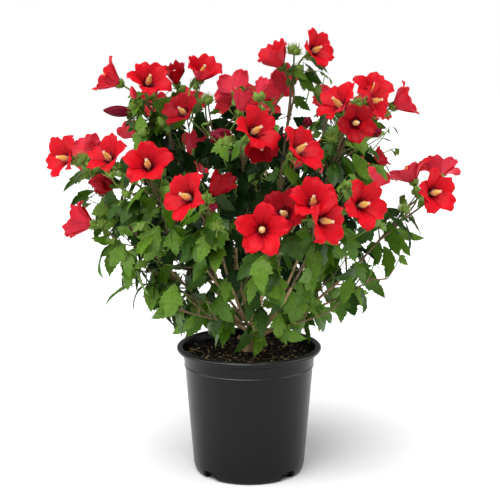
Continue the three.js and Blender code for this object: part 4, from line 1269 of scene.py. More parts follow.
# The eye runs out into the red in steps, each up to a share of the petal, and further in a deep bloom.
BLUSH_REACH, FLAME_REACH, EYE_REACH = 0.52, 0.34, 0.25
DEEP_EYE_SPREAD = 1.3
# How much of the eye's colour the steps hold.
FLAME_SHARE, BLUSH_SHARE = 0.5, 0.16

FURLED_ROWS, FURLED_SIDES = 24, 30
# A bud shows its petals' backs, so it takes their rose red with its painted light.
FURLED_FINISHES = {"furled": FINISH_SPENT, "wilted": FINISH_DEEP, "rolled": FINISH_SPENT, "bud": FINISH_BACK_WITH_PAINTED_LIGHT}
CRUMPLED = ("furled", "wilted")
# The depths and the sizes of a spent bloom's crumples.
CRUMPLES = ((3.4, 12), (1.4, 7))

# The column, as heights with its radii there, and how far out its anthers stand. Both end near its top.
COLUMN_FOOT = 6
COLUMN_BOW = 0.0009
COLUMN_SIDES = 8
COLUMN_RADII = ((6, 2.6), (12, 3.6), (18, 3.6))
PINK_TO = 16
ANTHERS = 80
ANTHERS_FROM = 13
ANTHER_SPREADS = ((13, 4.4), (16, 5.3), (24, 4.4))
ANTHER_RADII = (1.0, 1.5)
PINK_ANTHERS_TO = 19
STIGMAS = 5
STIGMA_SPREAD = 2.0
STIGMA_RADIUS = 1.15
FINISH_FOOT, FINISH_POLLEN, FINISH_STIGMA = range(3)
GRAIN = np.array([(1, 0, 0), (-1, 0, 0), (0, 1, 0), (0, -1, 0), (0, 0, 1), (0, 0, -1)])
GRAIN_FACES = np.array([
    (0, 2, 4), (2, 1, 4), (1, 3, 4), (3, 0, 4), (2, 0, 5), (1, 2, 5), (3, 1, 5), (0, 3, 5)])

CALYX_ROWS, CALYX_SIDES = 9, 15
CALYX_FOOT = 2.2
BRACTS = 7
# Half of a bract's outline: its distance from the axis, its height and its half width.
BRACT = ((2.0, -0.5, 1.0), (7.4, 1.4, 1.1), (11.0, 6.2, 0.8), (12.6, 13.0, 0.1))
BRACT_FACES = [(0, 1, 3, 2), (2, 3, 5, 4), (4, 5, 7, 6)]
FINISH_CALYX, FINISH_BRACT = range(2)
# Buds grow in the outer part of the crown, above a height, and clear of the blooms.
BUDS_OUTSIDE = 0.62
BUDS_ABOVE = 470
BUD_LENGTH = 18
BUD_TO_BLOOM = 34
BUD_STALK_RADIUS = 1.3
BUDS_IN_A_CLUSTER = 5


def in_bloom(bloom, points, spin=0.0):
    """Points in a bloom's own frame, turned and moved to where it grows."""
    first, second = square_to(bloom.axis)
    x = points[..., 0] * math.cos(spin) - points[..., 1] * math.sin(spin)
    y = points[..., 0] * math.sin(spin) + points[..., 1] * math.cos(spin)
    return bloom.apex + x[..., None] * first + y[..., None] * second + points[..., 2:] * bloom.axis


def petal_surface(bloom, k, width, draw):
    """One petal from its foot in the calyx to its wavy edge, overlapping the next."""
    form, size = bloom.form, bloom.size
    along, across = np.linspace(0, 1, PETAL_ROWS) ** 0.9, np.linspace(-1, 1, PETAL_COLUMNS)
    u, v = np.meshgrid(along, across, indexing="ij")
    # The edge falls back to both sides of the tip and is ragged, which leaves the foot as it is.
    ragged = 0.024 * np.sin(5 * v + draw.uniform(0, 6)) + 0.03 * np.sin(11 * v + draw.uniform(0, 6))
    fall = draw.uniform(*EDGE_FALLS)
    reach = u * (1 - fall * (0.25 * v**2 + 1.05 * v**4) * u - ragged * u**6)
    length = form["radius"] * draw.uniform(*PETAL_LENGTHS)
    radius = PETAL_FOOT + (length - PETAL_FOOT) * reach ** form["flare"]
    arch = 1 - np.maximum(0, 1 - reach) ** 1.4
    rise = PETAL_FOOT + (form["rim"] - PETAL_FOOT) * arch - form["turn_back"] * reach**5
    rise = rise + draw.normal(0, 3) * reach**2
    half = width / 2 * (0.15 + 0.85 * np.sin(np.clip(u / 0.76, 0, 1) * np.pi / 2) ** 1.25)
    out = half * v
    overlap = 0.12 * out
    sway = 2.2 * reach**2 * np.sin(2.6 * v + draw.uniform(0, 6))
    sway = sway + 2.6 * reach**4 * np.sin(7 * v + draw.uniform(0, 6))
    ribs = 0.22 * np.cos(np.pi * PETAL_RIBS * v) * np.sin(np.pi * u)
    cup = 0.008 * out**2
    height = rise + overlap + sway + ribs + cup
    inward = radius - 0.004 * out**2
    turn = 2 * np.pi * k / PETALS + draw.normal(0, 0.05)
    x = inward * math.cos(turn) - out * math.sin(turn)
    y = inward * math.sin(turn) + out * math.cos(turn)
    return np.stack([x, y, height], -1) * size, u, v


def add_petal(joined, bloom, k, spin, width, draw):
    """A petal as a thin closed shell, with a maroon foot that runs out into the red in streaks."""
    surface, u, v = petal_surface(bloom, k, width, draw)
    slope_u, slope_v = np.gradient(surface, axis=0), np.gradient(surface, axis=1)
    normal = unit(np.cross(slope_u, slope_v))
    front = in_bloom(bloom, surface + normal * PETAL_THICKNESS / 2, spin)
    back = in_bloom(bloom, surface - normal * PETAL_THICKNESS / 2, spin)
    faces = net(PETAL_ROWS, PETAL_COLUMNS)
    middle_u = (u[:-1, :-1] + u[1:, 1:]).ravel() / 2
    middle_v = (v[:-1, :-1] + v[1:, 1:]).ravel() / 2
    streak = 0.03 * np.cos(9 * middle_v) - 0.04 * np.abs(middle_v)
    is_deep = bloom.form_name in DEEP_FORMS
    # A fresh bloom's back takes the rose red that holds painted light; a deep bloom is deep red on both
    # sides.
    red, reverse, blush = (FINISH_DEEP,) * 3 if is_deep else (FINISH_PETAL, FINISH_BACK_WITH_PAINTED_LIGHT, FINISH_BLUSH)
    spread = DEEP_EYE_SPREAD if bloom.form_name == "deep" else 1
    steps = ((BLUSH_REACH, blush), (FLAME_REACH * spread, FINISH_FLAME), (EYE_REACH * spread, FINISH_EYE))
    finish = np.full(len(faces), red)
    for reach, shade in steps:
        finish[middle_u < reach + streak] = shade
    count = PETAL_ROWS * PETAL_COLUMNS
    start = joined.add([front, back], faces, finish)
    joined.add_faces(faces[:, ::-1] + start + count, reverse)
    edge = edge_of(PETAL_ROWS, PETAL_COLUMNS) + start
    after = np.roll(edge, -1)
    joined.add_faces(np.stack([edge, edge + count, after + count, after], 1), red)


def edge_of(rows, columns):
    """The numbers of the points round a net's edge, in order."""
    bottom = np.arange(columns)
    right = np.arange(1, rows) * columns + columns - 1
    top = np.arange(columns - 2, -1, -1) + (rows - 1) * columns
    left = np.arange(rows - 2, 0, -1) * columns
    return np.concatenate([bottom, right, top, left])


def add_furled(joined, bloom, spin, draw):
    """Petals rolled into a spindle, crumpled in a spent bloom and smooth in a bud."""
    u = np.linspace(0, 1, FURLED_ROWS)[:, None]
    turns = full_turn(FURLED_SIDES)[None]
    belly = np.sin(np.pi * (0.16 + 0.8 * u)) ** 0.8
    is_spent = bloom.form_name in CRUMPLED
    folds = (0.3 if is_spent else 0.08) * np.sin(PETALS * turns + 3.4 * u + spin) * np.sin(np.pi * u)
    radius = bloom.form["radius"] * belly * (1 + folds) + 0.2
    rings = round_axis(radius, turns + 0.9 * u, 6 + (bloom.form["rim"] - 2) * u)
    if is_spent:
        for depth, size in CRUMPLES:
            rings = rings + depth * wave(rings, size, int(draw.integers(1000)))[..., None]
    faces = net(FURLED_ROWS, FURLED_SIDES, closed=True)
    joined.add(in_bloom(bloom, rings * bloom.size), faces, FURLED_FINISHES[bloom.form_name])


def bowed(points):
    """Points moved aside with the column, which bows more and more towards its top."""
    return points + COLUMN_BOW * (points[..., 2:] - COLUMN_FOOT) ** 2 * SIDEWAYS


def add_column(joined, bloom, spin, draw):
    """The column: a pink foot, a cream upper part crowded with anthers, and a pale stigma."""
    top, size = bloom.form["column"], bloom.size

    def add_grains(centres, radii, finishes):
        """Small eight-sided grains in the bloom's frame."""
        grains = centres[:, None] + radii * GRAIN
        joined.add_copies(in_bloom(bloom, grains * size, spin), GRAIN_FACES, finishes)

    heights = np.linspace(COLUMN_FOOT, top - 3, 12)
    radii = size * looked_up(heights, (*COLUMN_RADII, (top - 8, 2.0), (top - 3, 0.9)))
    finishes = np.where(heights[1:] > PINK_TO, FINISH_POLLEN, FINISH_FOOT)
    line = in_bloom(bloom, bowed(heights[:, None] * UP) * size, spin)
    add_tube(joined, line, radii, COLUMN_SIDES, finishes)
    heights = np.linspace(ANTHERS_FROM, top - 4, ANTHERS) + draw.uniform(-0.5, 0.5, ANTHERS)
    spread = looked_up(heights, (*ANTHER_SPREADS, (top - 4, 1.5))) * draw.uniform(0.8, 1.08, ANTHERS)
    centres = bowed(round_axis(spread, math.radians(GOLDEN_ANGLE) * np.arange(ANTHERS), heights))
    finishes = np.where(heights > PINK_ANTHERS_TO, FINISH_POLLEN, FINISH_FOOT)
    add_grains(centres, draw.uniform(*ANTHER_RADII, (ANTHERS, 1, 1)), finishes)
    centres = round_axis(STIGMA_SPREAD, full_turn(STIGMAS), top - 1.0)
    far = COLUMN_BOW * (top - 4) ** 2
    add_grains(centres + far * SIDEWAYS, STIGMA_RADIUS, np.full(STIGMAS, FINISH_STIGMA))


def bud_places(plant):
    """Where buds stand, and how many: at the tips of stems and twigs, and beside the blooms."""
    for stem in plant.stems:
        yield stem.curve, 1.0, 4
        for number, twig in enumerate(stem.twigs):
            if twig.bears_bloom:
                yield twig.curve, 0.86, 1
                yield twig.curve, 0.95, 1
            elif twig.tip > 0.9 and number % 3 == 0:
                yield twig.curve, twig.tip, 2


def add_calyx(joined, base, axis, size, draw, spin=0.0, closed=0.0, length=20.0, width=7.6, spikes=1.0):
    """A five-pointed cup with a ring of narrow bracts below it. A closed one is a bud."""
    first, second = square_to(axis)
    u = np.linspace(0, 1, CALYX_ROWS)[:, None]
    turns = full_turn(CALYX_SIDES)[None] + spin
    lobes = np.cos(PETALS * (turns - spin))
    reach = length * u * blend(0.62 + 0.38 * (0.5 + 0.5 * lobes), 1, closed)
    open_radius = CALYX_FOOT + width * np.sin(np.clip(u * 1.15, 0, 1) * np.pi / 2)
    shut_radius = CALYX_FOOT * (1 - u) + 6.0 * np.sin(np.pi * u**0.72) ** 0.85
    radius = blend(open_radius, shut_radius, closed) + 0.3 * lobes * np.sin(np.pi * u)
    cup = (np.cos(turns) * radius)[..., None] * first + (np.sin(turns) * radius)[..., None] * second
    points = base + size * (cup + reach[..., None] * axis)
    joined.add(points, net(CALYX_ROWS, CALYX_SIDES, closed=True), FINISH_CALYX)
    bracts = round(BRACTS * spikes)
    for b in range(bracts):
        turn = 2 * np.pi * (b + draw.uniform(-0.2, 0.2)) / bracts + spin
        out = math.cos(turn) * first + math.sin(turn) * second
        side = np.cross(axis, out)
        edge = [base + size * (away * out + spikes * height * axis + hand * half * side)
                for away, height, half in BRACT for hand in (-1, 1)]
        joined.add(edge, BRACT_FACES, FINISH_BRACT)


class HIBISCUS_OT_blooms(bpy.types.Operator):
    """Opens the red blooms, each with five overlapping petals and a cream column"""
    bl_idname = "hibiscus.blooms"
    bl_label = "Blooms"

    def execute(self, context):
        settings = context.scene.hibiscus_blooms
        petals, columns = Joined(), Joined()
        for number, bloom in enumerate(shrub().blooms):
            draw = np.random.default_rng(500 + number)
            spin = draw.uniform(0, 2 * np.pi)
            if bloom.form["column"]:
                share = CUP_PETAL_SHARE if bloom.form_name == "cup" else 1
                for k in range(PETALS):
                    add_petal(petals, bloom, k, spin, settings.petal_width / MM * share, draw)
                add_column(columns, bloom, spin, draw)
            elif bloom.form_name in FURLED_FINISHES:
                add_furled(petals, bloom, spin, draw)
        fresh, eye, white = Vector(settings.petal), Vector(settings.eye), Vector((1, 1, 1))
        # In the order of the petals' finishes.
        red = petals.make("petals", [
            petal_material("Hibiscus petal, fresh", settings.petal),
            petal_material("Hibiscus petal, deep", settings.deep_petal),
            petal_material("Hibiscus petal, back", settings.petal_back_with_painted_light),
            petal_material("Hibiscus petal, spent", settings.spent),
            petal_material("Hibiscus petal, eye", settings.eye),
            petal_material("Hibiscus petal, flame", blend(fresh, eye, FLAME_SHARE)),
            petal_material("Hibiscus petal, blush", blend(fresh, eye, BLUSH_SHARE)),
        ])
        placed(red, "petals")
        cream = columns.make("columns", [
            petal_material("Hibiscus column, foot", settings.column_foot, 0.6),
            petal_material("Hibiscus column, pollen", settings.column, 0.8),
            petal_material("Hibiscus column, stigma", blend(Vector(settings.column), white, 0.6)),
        ])
        placed(cream, "stamens")
        return {"FINISHED"}


class HIBISCUS_OT_buds(bpy.types.Operator):
    """Sets the green calyces under the blooms, and the closed buds at the ends of the shoots"""
    bl_idname = "hibiscus.buds"
    bl_label = "Calyces and buds"

    def execute(self, context):
        joined = Joined()
        draw = np.random.default_rng(900)
        plant = shrub()
        # Buds stand at the twigs' ends, which the leaves set.
        leaves_of(plant)
        for bloom in plant.blooms:
            if bloom.form["column"]:
                add_calyx(joined, bloom.apex - 4 * bloom.axis, bloom.axis, bloom.size, draw, length=14)
            elif bloom.form_name in FURLED_FINISHES:
                add_calyx(joined, bloom.apex, bloom.axis, bloom.size, draw, length=23,
                          width=0.62 * bloom.form["radius"])
            else:
                self.add_cluster(joined, bloom, draw)
        for curve, share, count in bud_places(plant):
            foot = curve.point(share)
            if crown_share(foot[None])[0] < BUDS_OUTSIDE or foot[2] < BUDS_ABOVE:
                continue
            for k in range(count):
                lean = 8 if count > 1 and k == 0 else draw.uniform(32, 52)
                self.add_bud(joined, plant, foot, curve.tangent(share), lean, draw)
        settings = context.scene.hibiscus_blooms
        buds = joined.make("calyces_and_buds", [
            leaf_material("Hibiscus calyx", settings.calyx),
            leaf_material("Hibiscus bract", settings.bract),
        ])
        placed(buds, "foliage")
        return {"FINISHED"}

    def add_bud(self, joined, plant, foot, tangent, lean, draw):
        """A closed bud on a short stalk, left out where it would be in a bloom's way."""
        way = leaning_from(tangent, lean, draw.uniform(0, 360))
        size = draw.uniform(0.7, 1.08)
        root = foot + way * blend(2, 5, draw.random())
        checks = np.array([root, root + way * 16 * size])
        if plant.meets_bloom(checks) or plant.covers_bloom(checks, BUD_TO_BLOOM):
            return
        if plant.hides_bloom(checks) or crown_share(checks).max() > 1:
            return
        add_tube(joined, blend(foot, root, np.linspace(0, 1, 3)[:, None]), BUD_STALK_RADIUS, TWIG_SIDES)
        add_calyx(joined, root, way, size, draw, draw.uniform(0, 6), closed=1.0, length=BUD_LENGTH)

    def add_cluster(self, joined, bloom, draw):
        """Green buds that crowd the end of a shoot, the middle one upright and the others leaning out."""
        for k in range(BUDS_IN_A_CLUSTER):
            way = leaning_from(bloom.axis, draw.uniform(35, 65) if k else 6, 90 * k + draw.uniform(0, 40))
            add_calyx(joined, bloom.apex + 3 * way, way, bloom.size * draw.uniform(0.75, 1.05), draw,
                      draw.uniform(0, 6), closed=1.0, length=15, spikes=1.4)


# The pot and its mix

RING_STEPS = 160
POT_ROUNDING = 1.6
NOTCHES, NOTCH_WIDTH, NOTCH_HEIGHT = 4, 44, 17
NOTCH_ROUNDING = 7
NOTCH_FROM, NOTCH_TO = 88, 125
# The parts of the collar and the rim that get a painted highlight: how far below the top, how far
# out, and how much they face up.
HIGHLIGHT_DEPTH = 42
HIGHLIGHT_RADIUS = 125
HIGHLIGHT_SLOPE = 0.3
SHARP_ANGLE = 40


def rounded(points, radius, steps=5):
    """A profile whose corners are rounded by the radius, or by less where its sides are short."""
    line = [np.array(points[0], float)]
    for before, corner, after in zip(points, points[1:], points[2:]):
        before, corner, after = (np.array(p, float) for p in (before, corner, after))
        reach = min(radius, np.linalg.norm(corner - before) * 0.45, np.linalg.norm(after - corner) * 0.45)
        start, end = corner + unit(before - corner) * reach, corner + unit(after - corner) * reach
        for t in np.linspace(0, 1, steps):
            line.append((1 - t) ** 2 * start + 2 * t * (1 - t) * corner + t**2 * end)
    line.append(np.array(points[-1], float))
    return np.array(line)


def lathed(name, profile, materials):
    """A profile of radii and heights, turned round the pot's axis. Its ends lie on the axis."""
    inner = profile[1:-1]
    joined = Joined()
    joined.add(round_axis(inner[:, :1], full_turn(RING_STEPS), inner[:, 1:]),
               net(len(inner), RING_STEPS, closed=True))
    around = np.arange(RING_STEPS)
    joined.close(profile[0][1] * UP, around)
    joined.close(profile[-1][1] * UP, around + (len(inner) - 1) * RING_STEPS, turned=True)
    return joined.make(name, materials)


def pot_profile(wall):
    """The underside, the wall, the stepped collar and the rolled rim, and back down inside."""
    top, rim = POT_HEIGHT, RIM_RADIUS
    foot = [(0, 0), (99, 0), (105, 3.5), (108.4, 15)]
    bead = [(124.4, top - 39), (126.2, top - 38), (126.0, top - 36.4), (125.2, top - 35.4)]
    step = [(128.2, top - 15), (132.2, top - 14), (131.6, top - 11.4)]
    roll = [(rim - 2, top - 10), (rim, top - 7), (rim, top - 3), (rim - 3.5, top), (rim - 8.5, top)]
    inside = [(128.6, top - 3), (128.4 - wall, top - 14), (124.2 - wall, top - 38),
              (108.4 - wall, 18), (101, wall), (0, wall)]
    return rounded([*foot, *bead, *step, *roll, *inside], POT_ROUNDING)


def cut_notches(pot):
    """Cuts an arch through the foot of the wall at each drain hole."""
    half, top = NOTCH_WIDTH / 2, NOTCH_HEIGHT
    right = [(half - 11, top), (half - 5, top - 5), (half, -1), (half, -1)]
    left = [(-out, height) for out, height in reversed(right)]
    arch = rounded(left + right, NOTCH_ROUNDING)
    joined = Joined()
    for k in range(NOTCHES):
        turn = math.radians(360 / NOTCHES * (k + 0.5))
        out = np.array([math.sin(turn), -math.cos(turn), 0])
        side = np.array([math.cos(turn), math.sin(turn), 0])
        ends = [away * out + arch[:, :1] * side + arch[:, 1:] * UP for away in (NOTCH_FROM, NOTCH_TO)]
        count = len(arch)
        start = joined.add(ends, net(2, count, closed=True))
        for face in (np.arange(count)[::-1], np.arange(count) + count):
            joined.add_faces(face[None] + start)
    cutter = joined.make("notch_cutter", [], smooth=False)
    fix_normals(cutter.data)
    cut = pot.modifiers.new("Drain notches", "BOOLEAN")
    cut.operation, cut.object, cut.solver = "DIFFERENCE", cutter, "EXACT"
    shape = bpy.data.meshes.new_from_object(pot.evaluated_get(bpy.context.evaluated_depsgraph_get()))
    pot.modifiers.clear()
    pot.data = shape
    bpy.data.objects.remove(cutter)


def fix_normals(mesh):
    """Turns a closed mesh's faces outwards."""
    work = bmesh.new()
    work.from_mesh(mesh)
    bmesh.ops.recalc_face_normals(work, faces=work.faces)
    work.to_mesh(mesh)
    work.free()


class HIBISCUS_OT_pot(bpy.types.Operator):
    """Turns the pot with its rolled rim and stepped collar, and cuts its drain notches"""
    bl_idname = "hibiscus.pot"
    bl_label = "Nursery pot"

    def execute(self, context):
        settings = context.scene.hibiscus_pot
        # Recycled polypropylene, moulded and lightly textured, so it has broad, soft highlights.
        colour = settings.plastic
        plastic = new_material(
            "Polypropylene, moulded satin black", colour, Roughness=0.3, Specular_IOR_Level=0.2)
        grained(plastic, 1.5, 0.05, shaded(colour, 0.85), shaded(colour, 1.2))
        # A painted highlight: the outer parts near the top that face up, on the rim, the step and the bead,
        # get a paler and glossier plastic.
        painted_highlight = new_material(
            "Polypropylene, rubbed edge", shaded(colour, 3.6), Roughness=0.3, Specular_IOR_Level=0.75)
        pot = lathed("nursery_pot", pot_profile(settings.wall / MM), [plastic, painted_highlight])
        for face in pot.data.polygons:
            is_high = face.center.z > (POT_HEIGHT - HIGHLIGHT_DEPTH) * MM
            is_outside = face.center.xy.length > HIGHLIGHT_RADIUS * MM
            face.material_index = int(is_high and is_outside and face.normal.z > HIGHLIGHT_SLOPE)
        cut_notches(pot)
        pot.data.shade_smooth()
        pot.data.set_sharp_from_angle(angle=math.radians(SHARP_ANGLE))
        placed(pot, "pot_plastic", "pot")
        return {"FINISHED"}


# The top of the mix: its height at each distance from the axis, and the depths, sizes and seeds of
# its unevenness.
SOIL_DISH = ((0, 0), (26, -1), (52, -5), (90, -2), (116, -3), (123, -2.5))
SOIL_WAVES = ((1.8, 30, 21), (1.2, 9, 22), (0.8, 4, 23))
SOIL_REACH = 124.5
PLUG_DEPTH = 30
PLUG_SIDES = 120
CHIPS_REACH = 121
# The greatest half sizes of a chip, a long chip and a grain of perlite, and how high each lies.
CHIP_SIZES, CHIP_LIFT = (5.4, 3.6, 2.0), 0.4
LONG_CHIP_SIZES, LONG_CHIP_LIFT = (9, 4, 1.8), 1.4
PERLITE_SIZES, PERLITE_LIFT = (2.3, 2.0, 1.9), 1.0
CHIPS_TO_A_LONG_ONE = 20
FIBRES, FIBRES_REACH = 70, 112
FIBRE_LENGTHS, FIBRE_RADII = (8, 22), (0.25, 0.6)
FINISH_DARK, FINISH_BROWN, FINISH_TAN = range(3)
CHIP_SHADES = [FINISH_DARK] * 9 + [FINISH_BROWN] * 4 + [FINISH_TAN]
LONG_CHIP_SHADES = [FINISH_DARK] * 2 + [FINISH_BROWN] * 2 + [FINISH_TAN]
PERLITE_SHADES = [0, 0, 1]


def soil_height(points):
    """The height of the mix: dished between the wall and the trunk, and uneven."""
    flat = points * (1, 1, 0)
    height = SOIL_LEVEL - 1.5 + looked_up(np.hypot(points[..., 0], points[..., 1]), SOIL_DISH)
    return height + sum(depth * wave(flat, size, seed) for depth, size, seed in SOIL_WAVES)


def random_turns(draw, count):
    """As many turns in space, as three square directions each."""
    first = unit(draw.normal(size=(count, 3)))
    second = unit(np.cross(first, draw.normal(size=(count, 3))))
    return np.stack([first, second, np.cross(first, second)], 1)


def scattered(draw, count, reach):
    """Places spread evenly over the mix, on its surface."""
    radius = reach * np.sqrt(draw.random(count))
    places = round_axis(radius, draw.uniform(0, 2 * np.pi, count), 0)
    places[:, 2] = soil_height(places)
    return places


CUBE = np.array([(x, y, z) for z in (-1, 1) for y in (-1, 1) for x in (-1, 1)], float)
CUBE_FACES = np.array([(0, 2, 3, 1), (4, 5, 7, 6), (0, 1, 5, 4), (2, 6, 7, 3), (0, 4, 6, 2), (1, 3, 7, 5)])


def add_chips(joined, draw, count, sizes, lift, finishes):
    """Rough six-sided chips, each of its own size, turned its own way and half sunk in the mix."""
    corners = CUBE * (1 + draw.uniform(-0.32, 0.32, (count, 8, 3)))
    corners = corners * (draw.uniform(0.4, 1, (count, 1, 3)) ** 1.5 * np.array(sizes))
    turned = np.einsum("nij,njk->nik", corners, random_turns(draw, count)) * (1, 1, 0.6)
    places = scattered(draw, count, CHIPS_REACH)[:, None] + (0, 0, lift)
    joined.add_copies(turned + places, CUBE_FACES, draw.choice(finishes, count))


class HIBISCUS_OT_mix(bpy.types.Operator):
    """Fills the pot with mix: dark peat, bark chips, fibres and pale perlite"""
    bl_idname = "hibiscus.mix"
    bl_label = "Potting mix"

    def execute(self, context):
        settings = context.scene.hibiscus_pot
        draw = np.random.default_rng(61)
        placed(self.make_peat(settings), "potting_mix", "potting_mix")
        chips = Joined()
        add_chips(chips, draw, settings.chips, CHIP_SIZES, CHIP_LIFT, CHIP_SHADES)
        long_chips = settings.chips // CHIPS_TO_A_LONG_ONE
        add_chips(chips, draw, long_chips, LONG_CHIP_SIZES, LONG_CHIP_LIFT, LONG_CHIP_SHADES)
        self.add_fibres(chips, draw)
        bark = chips.make("bark_chips", [
            self.chip_material("Composted bark, dark", "#0c0906"),
            self.chip_material("Composted bark, brown", "#2c2117"),
            self.chip_material("Composted bark, tan", "#8c774c"),
        ], smooth=False)
        placed(bark, "potting_mix")
        grains = Joined()
        add_chips(grains, draw, settings.perlite, PERLITE_SIZES, PERLITE_LIFT, PERLITE_SHADES)
        perlite = grains.make("perlite", [
            self.chip_material("Perlite, white", "#e3dcc4"),
            self.chip_material("Perlite, stained", "#b9a574"),
        ])
        placed(perlite, "potting_mix")
        return {"FINISHED"}

    def make_peat(self, settings):
        """A closed plug whose top is the uneven surface of the mix."""
        radii = np.concatenate([[0.5], np.linspace(3, 120, 48), [SOIL_REACH]])
        rings = round_axis(radii[:, None], full_turn(PLUG_SIDES), 0)
        rings[..., 2] = soil_height(rings)
        skirt = rings[-1] * (0.97, 0.97, 0) + (0, 0, SOIL_LEVEL - PLUG_DEPTH)
        joined = Joined()
        joined.add([skirt, *rings[::-1]], net(len(radii) + 1, PLUG_SIDES, closed=True))
        for number, ring in ((0, skirt), (len(radii) * PLUG_SIDES, rings[0])):
            joined.close(ring.mean(0), number + np.arange(PLUG_SIDES))
        # Damp peat and fine bark: crumbly and almost black, with a broken, dull surface.
        peat = new_material("Peat, damp", settings.peat, Roughness=0.9, Specular_IOR_Level=0.25)
        grained(peat, 2.5, 2.0, shaded(settings.peat, 0.5), shaded(settings.peat, 2.6), detail=6)
        plug = joined.make("peat", [peat])
        fix_normals(plug.data)
        return plug

    def add_fibres(self, joined, draw):
        """Thin strands of fibre that lie over the chips."""
        for start in scattered(draw, FIBRES, FIBRES_REACH):
            way = direction_of(draw.uniform(0, 360), 90)
            length = draw.uniform(*FIBRE_LENGTHS)
            line = start + 2 * UP + np.linspace(-0.5, 0.5, 6)[:, None] * length * way
            line = line + np.stack([wave(line, 14, 70), wave(line, 14, 71), 0.5 * wave(line, 10, 72)], 1) * 2
            radius = draw.uniform(*FIBRE_RADII)
            add_tube(joined, line, radius, 4, int(draw.choice([FINISH_BROWN, FINISH_TAN])))

    def chip_material(self, name, hex_colour):
        """Broken bark or perlite: rough and dull, with a fine grain."""
        colour = linear(hex_colour)
        material = new_material(name, colour, Roughness=0.8, Specular_IOR_Level=0.3)
        return grained(material, 1.2, 0.3, shaded(colour, 0.7), shaded(colour, 1.25))


# The stage


FLOOR_REACH = 9000
# Where the overhead light comes from, as an azimuth and a lean from upright, and how wide it is.
OVERHEAD_AZIMUTH, OVERHEAD_LEAN, OVERHEAD_WIDTH = -110, 25, 65
SIDE_LIGHTS = {"left": (-1.7, -0.5, 0.7), "right": (1.7, -0.3, 0.7)}
SIDE_LIGHT_SIZE = 1.5
LIT_POINT = (0, 0, 0.5)
# The camera stands straight before the point that it looks at.
AIM_SIDE, AIM_HEIGHT = 0.0019, 0.436
VIEW_ANGLE = 20.5


def aimed(data, place, target):
    """A lamp or a camera at a place, turned to its target."""
    obj = linked(bpy.data.objects.new(data.name, data))
    obj.location = place
    obj.rotation_euler = (Vector(target) - obj.location).to_track_quat("-Z", "Y").to_euler()
    return obj


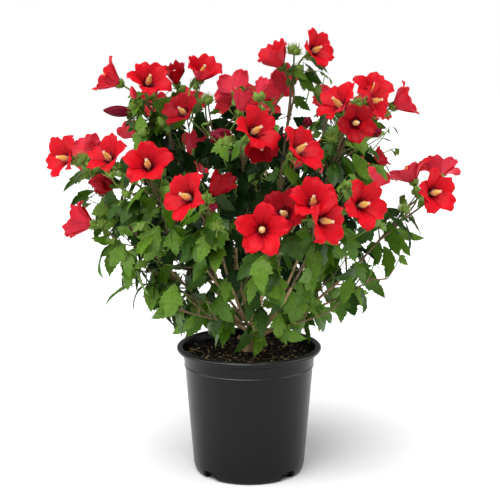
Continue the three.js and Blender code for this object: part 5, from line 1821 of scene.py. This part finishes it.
class HIBISCUS_OT_stage(bpy.types.Operator):
    """Sets the pale floor, the white surround, the soft lights and the camera"""
    bl_idname = "hibiscus.stage"
    bl_label = "Stage"

    def execute(self, context):
        settings = context.scene.hibiscus_stage
        scene = context.scene
        scene.view_settings.view_transform = "Standard"
        self.add_floor()
        self.add_surround(scene, settings)
        self.add_overhead(settings.key)
        for name, place in SIDE_LIGHTS.items():
            lamp = bpy.data.lights.new(name, "AREA")
            lamp.size, lamp.energy = SIDE_LIGHT_SIZE, settings.side
            aimed(lamp, place, LIT_POINT)
        self.add_camera(scene, settings)
        return {"FINISHED"}

    def add_floor(self):
        """A wide floor of matt white paper, which shows no highlight, only the soft shadow."""
        paper = new_material("Paper, matt white", linear("#f6f6f6"), Roughness=0.9)
        joined = Joined()
        corners = [(-1, -1, 0), (1, -1, 0), (1, 1, 0), (-1, 1, 0)]
        joined.add(FLOOR_REACH * np.array(corners), [(0, 1, 2, 3)])
        joined.make("floor", [paper], smooth=False)

    def add_surround(self, scene, settings):
        """White all round: bright where the camera sees it, and dimmer in the light that it gives."""
        world = bpy.data.worlds.new("White surround")
        world.use_nodes = True
        tree = world.node_tree
        white = (1, 1, 1, 1)
        lit = tree.nodes["Background"]
        lit.inputs["Color"].default_value = white
        lit.inputs["Strength"].default_value = settings.sky
        seen = add_node(tree, "ShaderNodeBackground", {"Color": white, "Strength": 1})
        rays = add_node(tree, "ShaderNodeLightPath")
        mixed = add_node(tree, "ShaderNodeMixShader", links={
            0: rays.outputs["Is Camera Ray"], 1: lit.outputs["Background"], 2: seen.outputs["Background"]})
        tree.links.new(mixed.outputs["Shader"], tree.nodes["World Output"].inputs["Surface"])
        scene.world = world

    def add_overhead(self, strength):
        """A wide light from above, in front and a little to the left."""
        lamp = bpy.data.lights.new("overhead", "SUN")
        lamp.energy, lamp.angle = strength, math.radians(OVERHEAD_WIDTH)
        light = linked(bpy.data.objects.new("overhead", lamp))
        source = Vector(direction_of(OVERHEAD_AZIMUTH, OVERHEAD_LEAN))
        light.rotation_euler = source.to_track_quat("Z", "Y").to_euler()

    def add_camera(self, scene, settings):
        """The camera stands a little above the crown's top and looks down at the middle."""
        lens = bpy.data.cameras.new("camera")
        lens.angle = math.radians(VIEW_ANGLE)
        place = (AIM_SIDE, -settings.camera_distance, settings.camera_height)
        scene.camera = aimed(lens, place, (AIM_SIDE, 0, AIM_HEIGHT))


class HIBISCUS_PT_panel(bpy.types.Panel):
    """Lists the shrub's pieces"""
    bl_label = "Potted hibiscus"
    bl_idname = "HIBISCUS_PT_panel"
    bl_space_type = "VIEW_3D"
    bl_region_type = "UI"
    bl_category = "Hibiscus"

    def draw(self, context):
        for operator in OPERATORS:
            self.layout.operator(operator.bl_idname)
        for name in GROUPS:
            group = getattr(context.scene, name)
            box = self.layout.box()
            for setting in group.bl_rna.properties.keys():
                if setting not in ("rna_type", "name"):
                    box.prop(group, setting)


GROUPS = {
    "hibiscus_wood": HibiscusWood,
    "hibiscus_leaves": HibiscusLeaves,
    "hibiscus_blooms": HibiscusBlooms,
    "hibiscus_pot": HibiscusPot,
    "hibiscus_stage": HibiscusStage,
}
OPERATORS = (
    HIBISCUS_OT_pot,
    HIBISCUS_OT_mix,
    HIBISCUS_OT_canes,
    HIBISCUS_OT_twigs,
    HIBISCUS_OT_leaves,
    HIBISCUS_OT_blooms,
    HIBISCUS_OT_buds,
    HIBISCUS_OT_stage,
)


def register():
    for cls in (*GROUPS.values(), *OPERATORS, HIBISCUS_PT_panel):
        bpy.utils.register_class(cls)
    for name, group in GROUPS.items():
        setattr(bpy.types.Scene, name, PointerProperty(type=group))


def unregister():
    for name in GROUPS:
        delattr(bpy.types.Scene, name)
    for cls in reversed((*GROUPS.values(), *OPERATORS, HIBISCUS_PT_panel)):
        bpy.utils.unregister_class(cls)


def main():
    register()
    bpy.ops.hibiscus.pot()
    bpy.ops.hibiscus.mix()
    bpy.ops.hibiscus.canes()
    bpy.ops.hibiscus.twigs()
    bpy.ops.hibiscus.leaves()
    bpy.ops.hibiscus.blooms()
    bpy.ops.hibiscus.buds()
    bpy.ops.hibiscus.stage()


if __name__ == "__main__":
    main()
